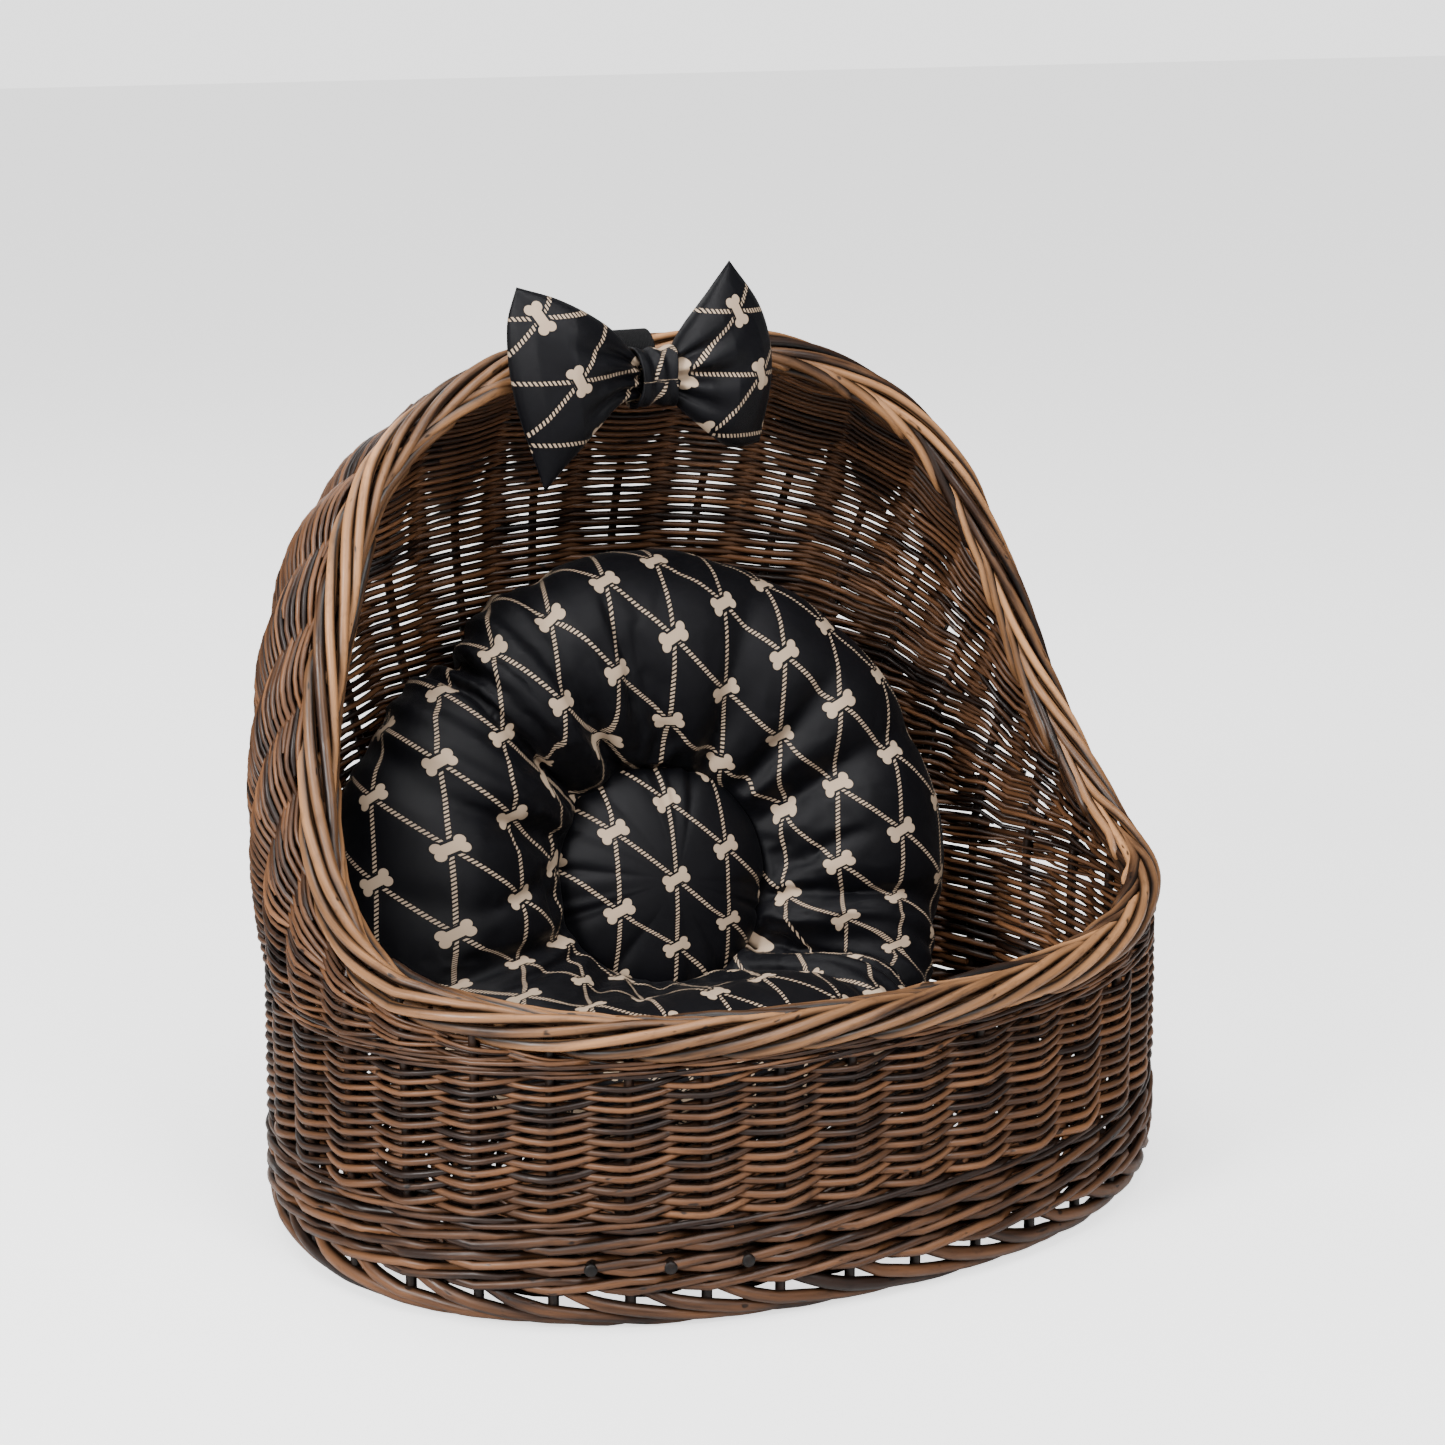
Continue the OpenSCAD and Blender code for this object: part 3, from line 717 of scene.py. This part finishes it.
def print_group():
    """Printed cloth: a lattice of twisted ropes with a small bone where they cross.
    The UV map is the cloth laid flat, in metres."""
    color, value = "NodeSocketColor", "NodeSocketFloat"
    group, inside, outside = new_group(
        "bone print",
        [("Ground", color, (0.0014, 0.0014, 0.0022, 1)), ("Print", color, (0.36, 0.27, 0.19, 1)),
         ("Across", value, 0.046), ("Up", value, 0.099)],
        [("Color", color), ("Mask", value), ("Height", value)])
    w = Wiring(group)
    place = w.node("ShaderNodeUVMap", settings={"uv_map": "cloth"})
    split = w.tree.nodes.new("ShaderNodeSeparateXYZ")
    w.put(split, 0, place)
    x = w.math("DIVIDE", split.outputs[0], inside.outputs["Across"])
    y = w.math("DIVIDE", split.outputs[1], inside.outputs["Up"])
    first, second = w.plus(y, x), w.minus(y, x)

    def from_whole(v):
        return w.minus(v, w.math("ROUND", v))

    def rope(off, lengthwise):
        across = w.times(off, ROPE_SPACING)
        inside_rope = w.math("LESS_THAN", w.math("ABSOLUTE", across), ROPE_HALF_W)
        slant = w.times(across, 1 / TWIST_SLANT)
        twist = w.plus(w.times(lengthwise, 1 / TWIST_PITCH), slant)
        strand = w.math("LESS_THAN", w.math("FRACT", twist), 0.52)
        return w.times(inside_rope, strand)

    run_up = w.plus(w.times(split.outputs[0], ROPE_RUN[0]),
                    w.times(split.outputs[1], ROPE_RUN[1]))
    run_down = w.plus(w.times(split.outputs[0], -ROPE_RUN[0]),
                      w.times(split.outputs[1], ROPE_RUN[1]))
    off_first, off_second = from_whole(first), from_whole(second)
    ropes = w.math("MAXIMUM", rope(off_second, run_up), rope(off_first, run_down))
    # From the nearest crossing of the ropes, in metres
    half_across = w.times(inside.outputs["Across"], 0.5)
    half_up = w.times(inside.outputs["Up"], 0.5)
    near_x = w.times(w.minus(off_first, off_second), half_across)
    near_y = w.times(w.plus(off_first, off_second), half_up)
    ax, ay = w.math("ABSOLUTE", near_x), w.math("ABSOLUTE", near_y)
    lobe_x, lobe_y = w.minus(ax, BONE_HALF_L), w.minus(ay, 0.0027)
    lobe = w.minus(w.math("SQRT", w.plus(w.times(lobe_x, lobe_x),
                                                    w.times(lobe_y, lobe_y))), 0.0032)
    shaft = w.math("MAXIMUM", w.minus(ax, BONE_HALF_L), w.minus(ay, 0.0034))
    bone = w.math("MINIMUM", lobe, shaft)
    clear = w.math("GREATER_THAN", bone, 0.0014)
    mask = w.math("MAXIMUM", w.times(ropes, clear), w.math("LESS_THAN", bone, 0.0))
    # Weave of the cloth itself
    warp = w.math("SINE", w.times(split.outputs[0], 2 * math.pi / 0.0006))
    weft = w.math("SINE", w.times(split.outputs[1], 2 * math.pi / 0.0006))
    thread = w.times(warp, weft)
    blotch = w.noise(w.vector("MULTIPLY", place, (60, 60, 60)), 1.0, 3.0, 0.6)
    ground = w.mix(w.spread(blotch, 0.3, 0.75, 0.0, 0.5), inside.outputs["Ground"],
                   (0.0030, 0.0030, 0.0044, 1))
    ink = w.mix(w.spread(blotch, 0.35, 0.7, 0.0, 0.3), inside.outputs["Print"], (0.28, 0.20, 0.14, 1))
    w.put(outside, "Color", w.mix(mask, ground, ink))
    w.put(outside, "Mask", mask)
    w.put(outside, "Height", w.plus(w.times(thread, 0.5), w.times(blotch, 0.6)))
    return group


# Lattice of the print: distance between bones across and up the cloth
ACROSS, UP = 0.046, 0.099
ROPE_HALF_W = 0.0014
TWIST_PITCH = 0.0027
TWIST_SLANT = 0.0050
BONE_HALF_L = 0.0070
ROPE_RUN = unit(np.array([ACROSS, UP])).tolist()
ROPE_SPACING = ACROSS * UP / math.hypot(ACROSS, UP)
PRINT = print_group()


def printed_cloth(name, rough, sheen):
    material, w, shader = new_material(name)
    cloth = add_group(w, PRINT, Across=ACROSS, Up=UP)
    w.put(shader, "Base Color", cloth.outputs["Color"])
    w.put(shader, "Normal", bump(w, cloth.outputs["Height"], 0.00012, 0.5))
    w.put(shader, "Roughness", w.spread(cloth.outputs["Mask"], 0, 1, rough, rough + 0.12))
    shader.inputs["Sheen Weight"].default_value = sheen
    shader.inputs["Sheen Roughness"].default_value = 0.4
    shader.inputs["Specular IOR Level"].default_value = 0.13
    return material


cushion_cloth = printed_cloth("cushion cloth", 0.50, 0.01)
bow_cloth = printed_cloth("bow cloth", 0.44, 0.01)


def mesh_piece(name, points, faces, material, body, *nodes, uv=None):
    """A piece made from points and faces, with the flat place of each point on the cloth."""
    mesh = bpy.data.meshes.new(name)
    mesh.from_pydata(np.asarray(points).tolist(), [], [list(map(int, f)) for f in faces])
    if uv is not None:
        layer = mesh.uv_layers.new(name="cloth")
        corner = np.zeros(len(mesh.loops), np.int32)
        mesh.loops.foreach_get("vertex_index", corner)
        layer.data.foreach_set("uv", np.asarray(uv, np.float32)[corner].ravel())
    obj = bpy.data.objects.new(name, mesh)
    bpy.context.scene.collection.objects.link(obj)
    mesh.materials.append(material)
    for polygon in mesh.polygons:
        polygon.use_smooth = True
    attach(obj, body)
    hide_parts(*nodes)
    return obj


CUSHION_R = 0.227
RING_HALF_W = 0.075
RING_HALF_T = 0.050
PAD_HALF_T = 0.033
CUSHION_FRONT = -0.078
CUSHION_LIE = 0.071
BEND_R = 0.100
LEAN_UP = math.radians(75)
LIE_Z = FLOOR_TOP + 0.0006 + RING_HALF_T
RING_MID_R = CUSHION_R - RING_HALF_W
PAD_R = RING_MID_R - RING_HALF_W + 0.006
CLOTH_TURN = math.radians(21)
# Length of cloth over a quarter of the ring's section
QUARTER_ROUND = 0.098


def bent(flat):
    """Bends the flat cushion so that it lies on the floor in front and leans back behind."""
    u, v, w = flat[..., 0], flat[..., 1] + CUSHION_R, flat[..., 2]
    bend = BEND_R * LEAN_UP
    a = np.clip((v - CUSHION_LIE) / BEND_R, 0, LEAN_UP)
    rest = np.maximum(v - CUSHION_LIE - bend, 0)
    y = CUSHION_FRONT + np.minimum(v, CUSHION_LIE) + BEND_R * np.sin(a) + rest * math.cos(LEAN_UP)
    z = LIE_Z + BEND_R * (1 - np.cos(a)) + rest * math.sin(LEAN_UP)
    return np.stack([u, y - w * np.sin(a) + SHIFT_Y, z + w * np.cos(a)], -1)


def cloth_place(flat, ring=False):
    """Where a point of the cushion is on the flat cloth.
    The ring is two cloths joined round its outer edge."""
    s, c = math.sin(CLOTH_TURN), math.cos(CLOTH_TURN)
    turn = np.array([[c, s], [-s, c]])
    if not ring:
        return flat[..., :2] @ turn.T
    radius = np.linalg.norm(flat[..., :2], axis=-1)
    off_crown = np.abs(np.arctan2(flat[..., 2] / RING_HALF_T, (radius - RING_MID_R) / RING_HALF_W))
    laid = RING_MID_R + QUARTER_ROUND * (1 - off_crown / (math.pi / 2))
    return flat[..., :2] * (laid / np.maximum(radius, 0.01))[..., None] @ turn.T


def smooth_noise(count, size, seed):
    """A wavy ring of numbers with a few soft waves."""
    own = np.random.default_rng(seed)
    a = np.linspace(0, 2 * np.pi, count, endpoint=False)
    return sum(size / k * own.normal() * np.cos(k * a + own.uniform(0, 6.3)) for k in range(2, 8))


def pleats(a, count, seed, sharp=0.7):
    """Gathers round a seam: from 0 on the crowns to 1 in the creases, unevenly spaced."""
    own = np.random.default_rng(seed)
    places = np.sort(own.uniform(0, 2 * np.pi, count))
    depth = own.uniform(0.35, 1.0, count)
    width = own.uniform(0.05, 0.11, count)
    off = np.abs((a[..., None] - places + np.pi) % (2 * np.pi) - np.pi)
    return np.max(depth * np.exp(-(off / width) ** (2 * sharp)), axis=-1)


# Folds across the ring: place in degrees from the top, depth and width
FOLDS = ((-38, 0.86, 0.130), (-16, 0.42, 0.075), (-60, 0.30, 0.07), (30, 0.22, 0.08), (72, 0.22, 0.08),
         (132, 0.84, 0.130), (108, 0.40, 0.07), (156, 0.36, 0.07), (-104, 0.18, 0.08), (-150, 0.20, 0.08))


def round_grid(around, steps):
    """Angles all the way round a piece, each with all the steps given."""
    return np.meshgrid(np.linspace(0, 2 * np.pi, around, endpoint=False), steps, indexing="ij")


# Where the tube of the ring is gathered and sewn, in degrees from the top
GATHERS = (-38, 132)


def ring_flat(around, section):
    """Flat ring cushion with its gathers, before it is bent."""
    a, b = round_grid(around, np.linspace(0, 2 * np.pi, section, endpoint=False))
    inner = 0.5 - 0.5 * np.cos(b)
    swell = np.ones_like(a)
    swell -= 0.30 * pleats(a, 26, 4) * inner ** 2.2
    swell -= 0.10 * pleats(a + 0.35 * np.sin(b), 15, 5) * inner ** 0.7
    swell -= 0.05 * pleats(a, 34, 6) * (1 - inner) ** 2
    for degrees in GATHERS:
        off = (a - math.radians(degrees) + np.pi) % (2 * np.pi) - np.pi
        swell -= 0.055 * np.exp(-(off / 0.34) ** 2) * (1 + np.cos(2 * np.pi * off / 0.105))
    swell += smooth_noise(around, 0.024, 7)[:, None] - 0.07 * np.sin(a)
    for degrees, depth, width in FOLDS:
        off = (a - math.radians(degrees) + 0.12 * np.sin(b) + np.pi) % (2 * np.pi) - np.pi
        swell -= depth * np.exp(-np.abs(off / width) ** 1.4) * (0.22 + 0.78 * inner)
    held = np.where(np.cos(b) < 0, np.abs(np.cos(b)) ** 1.5, 0)
    radius = RING_MID_R + RING_HALF_W * (swell * (1 - held) + held) * np.cos(b)
    height = RING_HALF_T * swell * np.sign(np.sin(b)) * np.abs(np.sin(b)) ** 0.9
    return np.stack([radius * np.sin(a), radius * np.cos(a), height], -1)


def grid_faces(rows, cols, wrap_rows=True, wrap_cols=True, flip=False):
    i, j = np.meshgrid(np.arange(rows if wrap_rows else rows - 1),
                       np.arange(cols if wrap_cols else cols - 1), indexing="ij")
    a = i * cols + j
    b = i * cols + (j + 1) % cols
    c = ((i + 1) % rows) * cols + (j + 1) % cols
    d = ((i + 1) % rows) * cols + j
    quads = np.stack([a, d, c, b] if flip else [a, b, c, d], -1).reshape(-1, 4)
    return quads


def stuffed(name, flat, faces, voxel, cap, held):
    """Swells a cushion in loose cloth and gives back its points and faces.
    No point moves further than cap, and held says which points are sewn."""
    mesh = bpy.data.meshes.new(name)
    mesh.from_pydata(flat.reshape(-1, 3).tolist(), [], [list(map(int, f)) for f in faces])
    obj = bpy.data.objects.new(name, mesh)
    scene = bpy.context.scene
    scene.collection.objects.link(obj)
    bpy.ops.object.select_all(action="DESELECT")
    bpy.context.view_layer.objects.active = obj
    obj.select_set(True)
    remesh = obj.modifiers.new("even mesh", "REMESH")
    remesh.mode, remesh.voxel_size = "VOXEL", voxel
    bpy.ops.object.modifier_apply(modifier=remesh.name)
    start = np.array([v.co for v in obj.data.vertices])
    seam = obj.vertex_groups.new(name="seam")
    seam.add(np.flatnonzero(held(start)).tolist(), 1.0, "REPLACE")
    cloth = obj.modifiers.new("cloth", "CLOTH")
    cloth.settings.quality = 4
    cloth.settings.use_pressure = True
    cloth.settings.uniform_pressure_force = 1.8
    cloth.settings.shrink_min = -0.07
    cloth.settings.bending_stiffness = 0.15
    cloth.settings.vertex_group_mass = "seam"
    cloth.settings.effector_weights.gravity = 0
    cloth.point_cache.frame_start, cloth.point_cache.frame_end = 1, 20
    for number in range(1, 21):
        scene.frame_set(number)
    now = obj.evaluated_get(bpy.context.evaluated_depsgraph_get()).data
    moved = np.array([v.co for v in now.vertices]) - start
    far = np.linalg.norm(moved, axis=1, keepdims=True)
    obj.modifiers.remove(cloth)
    scene.frame_set(1)
    start += moved * np.minimum(1, cap / np.maximum(far, 1e-9))
    obj.data.vertices.foreach_set("co", start.ravel())
    finer = obj.modifiers.new("finer", "SUBSURF")
    finer.levels = finer.render_levels = 1
    bpy.ops.object.modifier_apply(modifier=finer.name)
    points = np.array([v.co for v in obj.data.vertices])
    faces = [list(p.vertices) for p in obj.data.polygons]
    bpy.data.objects.remove(obj)
    return points, faces


def ring_cushion():
    around, section = 420, 96
    flat, faces = ring_flat(around, section).reshape(-1, 3), grid_faces(around, section)
    def at_seam(p):
        return np.linalg.norm(p[:, :2], axis=1) < RING_MID_R - RING_HALF_W + 0.004
    flat, faces = stuffed("ring_filling_shape", flat, faces, 0.0045, 0.007, at_seam)
    obj = mesh_piece("ring_cushion", bent(flat), faces, cushion_cloth, "cushion",
                     "ring_cover", "ring_filling", uv=cloth_place(flat, True))


def pad_cushion():
    """Centre pad: domed, and gathered at the seam that it shares with the ring."""
    around, rings = 240, 48
    a, f = round_grid(around, np.linspace(0, 1, rings))
    b = np.pi * (0.004 + 0.992 * f)
    crease = pleats(a, 22, 9) * np.sin(b) ** 3
    radius = PAD_R * np.sin(b) ** 0.9 * (1 - 0.05 * crease)
    height = PAD_HALF_T * np.cos(b) * (1 - 0.30 * crease)
    flat = np.stack([radius * np.sin(a), radius * np.cos(a), height], -1)
    points = bent(flat).reshape(-1, 3)
    quads = grid_faces(around, rings, True, False, flip=True)
    top = [i * rings for i in range(around)]
    bottom = [i * rings + rings - 1 for i in range(around)]
    faces = quads.tolist() + [top[::-1], bottom]
    obj = mesh_piece("pad_cushion", points, faces, cushion_cloth, "cushion", "pad_cover", "pad_filling",
                     uv=cloth_place(flat).reshape(-1, 2))


ring_cushion()
pad_cushion()

# ------------------------------------------------------------------ bow

knot_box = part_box("bow_knot")
KNOT = np.array([(knot_box[0][k] + knot_box[1][k]) / 2 for k in range(3)])
KNOT_SIZE = np.array([(knot_box[1][k] - knot_box[0][k]) / 2 for k in range(3)])


def curve_through(points, count):
    """Evenly spaced points on a smooth curve through the given ones."""
    points = np.asarray(points, float)
    guide = np.concatenate([[2 * points[0] - points[1]], points, [2 * points[-1] - points[-2]]])
    t = np.linspace(0, len(points) - 1, 60)
    i = np.clip(np.floor(t).astype(int), 0, len(points) - 2)
    f = (t - i)[:, None]
    p0, p1, p2, p3 = guide[i], guide[i + 1], guide[i + 2], guide[i + 3]
    fine = 0.5 * (2 * p1 + (p2 - p0) * f + (2 * p0 - 5 * p1 + 4 * p2 - p3) * f * f
                  + (3 * p1 - p0 - 3 * p2 + p3) * f ** 3)
    run = np.concatenate([[0], np.cumsum(np.linalg.norm(np.diff(fine, axis=0), axis=1))])
    want = np.linspace(0, run[-1], count)
    return np.stack([np.interp(want, run, fine[:, k]) for k in range(fine.shape[1])], -1)


def bow_wing(name, upper, outer, lower, neck, print_at, fold_seed, nodes, turn):
    """A stuffed wing: a four-sided patch between the knot, the two edges and the outer end."""
    n, m = 64, 48
    top = curve_through(upper, n)
    bottom = curve_through(lower, n)
    end = curve_through(outer, m)
    start = curve_through(neck, m)
    s, h = np.meshgrid(np.linspace(0, 1, n), np.linspace(0, 1, m), indexing="ij")
    s3, h3 = s[..., None], h[..., None]
    patch = ((1 - h3) * top[:, None] + h3 * bottom[:, None] + (1 - s3) * start[None] + s3 * end[None]
             - ((1 - s3) * (1 - h3) * top[0] + (1 - s3) * h3 * bottom[0]
                + s3 * (1 - h3) * top[-1] + s3 * h3 * bottom[-1]))
    edge = np.clip(4 * h * (1 - h), 0, 1) ** 0.5
    belly = np.interp(s, [0, 0.12, 0.35, 0.6, 0.85, 0.96, 1],
                      [0.009, 0.012, 0.019, 0.020, 0.013, 0.006, 0.0012])
    own = np.random.default_rng(fold_seed)
    folds = np.zeros_like(s)
    for place, depth, width in zip((0.24, 0.50, 0.76), own.uniform(0.65, 0.9, 3), (0.07, 0.08, 0.07)):
        fade = np.clip(1 - s / own.uniform(0.45, 0.8), 0, 1) ** 0.8
        folds += depth * fade * np.exp(-((h - place - 0.03 * np.sin(4 * s)) / width) ** 2)
    puff = 1 + 0.10 * np.sin(7 * s + 3 * h + own.uniform(0, 6)) * np.sin(5 * h + own.uniform(0, 6))
    front = -belly * edge * (1 - folds * 0.85) * puff
    back = belly * edge * 0.8 * (1 - folds[:, ::-1] * 0.5)
    lean = -0.006 * np.sin(np.pi * s)
    sheets = []
    for depth in (front, back):
        sheets.append(np.stack([patch[..., 0], lean + depth, patch[..., 1]], -1) + KNOT)
    ring = np.concatenate([sheets[0], sheets[1][:, -2:0:-1]], 1)
    cols = ring.shape[1]
    points = ring.reshape(-1, 3)
    quads = grid_faces(n, cols, False, True, flip=not turn)
    first = list(range(cols))
    last = [v + (n - 1) * cols for v in first]
    faces = quads.tolist() + ([first[::-1], last] if turn else [first, last[::-1]])
    flat = np.concatenate([patch, patch[:, -2:0:-1]], 1).reshape(-1, 2)
    angle = math.radians(68 if turn else 62)
    spin = np.array([[math.cos(angle), -math.sin(angle)], [math.sin(angle), math.cos(angle)]])
    obj = mesh_piece(name, points, faces, bow_cloth, "bow", *nodes, uv=(flat - print_at) @ spin.T)


LEFT_WING = dict(upper=[(-0.011, 0.014), (-0.034, 0.036), (-0.066, 0.054), (-0.096, 0.064)],
                 outer=[(-0.096, 0.064), (-0.103, 0.036), (-0.098, -0.010), (-0.078, -0.071)],
                 lower=[(-0.011, -0.014), (-0.028, -0.018), (-0.052, -0.040), (-0.078, -0.071)],
                 neck=[(-0.011, 0.014), (-0.011, -0.014)])
RIGHT_WING = dict(upper=[(0.011, 0.014), (0.022, 0.034), (0.040, 0.056), (0.058, 0.074)],
                  outer=[(0.058, 0.074), (0.082, 0.040), (0.090, 0.000), (0.081, -0.050)],
                  lower=[(0.011, -0.014), (0.030, -0.032), (0.055, -0.050), (0.081, -0.050)],
                  neck=[(0.011, 0.014), (0.011, -0.014)])
bow_wing("bow_wing_left", **LEFT_WING, print_at=(-0.063, 0.004), fold_seed=3,
         nodes=("bow_loop_left", "bow_filling_left"), turn=False)
bow_wing("bow_wing_right", **RIGHT_WING, print_at=(0.056, 0.042), fold_seed=8,
         nodes=("bow_loop_right", "bow_filling_right"), turn=True)


def knot():
    """Band wrapped round the middle of the bow, a little drawn in between its edges."""
    around, across = 96, 40
    a, f = round_grid(around, np.linspace(-1, 1, across))
    power = 2 / 2.5
    c, s = np.cos(a), np.sin(a)
    crease = 0.0011 * np.sin(7 * f + 1.5 * np.sin(a)) * (1 - f ** 2)
    narrow = 0.82 + 0.18 * np.abs(s)
    shell = []
    for inset in (0.0, 0.0024):
        waist = 1 - 0.10 * (1 - f ** 2)
        depth = (KNOT_SIZE[1] - 0.001 - inset) * waist
        tall = (KNOT_SIZE[2] - 0.0005 - inset) * waist
        out = 0 if inset else crease
        y = (depth + out) * np.sign(c) * np.abs(c) ** power
        z = (tall + out) * np.sign(s) * np.abs(s) ** power
        shell.append(np.stack([f * narrow * (KNOT_SIZE[0] - 0.0004), -y, z], -1) + KNOT)
    ring = np.concatenate([shell[0], shell[1][:, ::-1]], 1)
    points = ring.reshape(-1, 3)
    faces = grid_faces(around, ring.shape[1], True, True)
    run = a * 0.019
    flat = np.stack([f * KNOT_SIZE[0] + 0.013, run + 0.02], -1)
    flat = np.concatenate([flat, flat[:, ::-1]], 1).reshape(-1, 2)
    obj = mesh_piece("bow_knot_band", points, faces, bow_cloth, "bow", "bow_knot", uv=flat)


knot()


def elastic():
    """Black ribbed elastic of the strap."""
    material, w, shader = new_material("elastic")
    place = w.node("ShaderNodeTexCoord", out=3)
    rib = w.node("ShaderNodeTexWave", settings={"bands_direction": "X"}, Vector=place, Scale=260.0)
    fuzz = w.noise(place, 900.0, 2.0)
    black = w.mix(w.spread(rib, 0, 1, 0, 0.6), (0.0018, 0.0018, 0.002, 1), (0.005, 0.005, 0.006, 1))
    w.put(shader, "Base Color", black)
    w.put(shader, "Roughness", w.spread(fuzz, 0.3, 0.7, 0.6, 0.8))
    shader.inputs["Specular IOR Level"].default_value = 0.15
    w.put(shader, "Normal", bump(w, w.plus(rib, w.times(fuzz, 0.3)), 0.0003))
    return material


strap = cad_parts["bow_strap"]
strap.data.materials.clear()
strap.data.materials.append(elastic())

# ------------------------------------------------------------------ stage


# Name, place, size and power of each light
LIGHTS = (("key", (-2.5, -1.0, 1.6), 0.8, 150),
          ("fill", (0.2, -2.4, 2.0), 1.0, 80),
          ("back", (-0.6, 2.4, 2.2), 1.6, 35),
          ("top", (-0.3, -0.6, 3.2), 1.8, 130))


def stage():
    bpy.ops.object.select_all(action="DESELECT")
    bpy.ops.mesh.primitive_plane_add(size=30, location=(0, 0, 0))
    ground = bpy.context.object
    ground.name = "ground"
    material, w, shader = new_material("ground")
    place = w.node("ShaderNodeTexCoord", out=3)
    speck = w.noise(place, 3.0, 2.0)
    pale = w.mix(w.spread(speck, 0.3, 0.7), (0.60, 0.60, 0.60, 1), (0.62, 0.62, 0.62, 1))
    w.put(shader, "Base Color", pale)
    shader.inputs["Roughness"].default_value = 0.9
    shader.inputs["Specular IOR Level"].default_value = 0.1
    shader.inputs["Emission Color"].default_value = (1, 1, 1, 1)
    w.put(shader, "Emission Strength", w.times(w.node("ShaderNodeLightPath"), 1.7))
    ground.data.materials.append(material)
    world = bpy.data.worlds.new("studio")
    bpy.context.scene.world = world
    world.use_nodes = True
    w = Wiring(world.node_tree)
    seen = w.node("ShaderNodeLightPath")
    w.put(world.node_tree.nodes["Background"], "Color", (1, 1, 1, 1))
    w.put(world.node_tree.nodes["Background"], "Strength", w.spread(seen, 0, 1, 0.18, 2.2))
    for name, place, size, power in LIGHTS:
        data = bpy.data.lights.new(name, "AREA")
        data.size = size
        data.energy = power
        light = bpy.data.objects.new(name, data)
        light.location = place
        toward = np.array([0, 0, 0.25]) - np.array(place)
        light.rotation_euler = (math.atan2(math.hypot(toward[0], toward[1]), -toward[2]), 0,
                                math.atan2(toward[1], toward[0]) - math.pi / 2)
        bpy.context.scene.collection.objects.link(light)


stage()
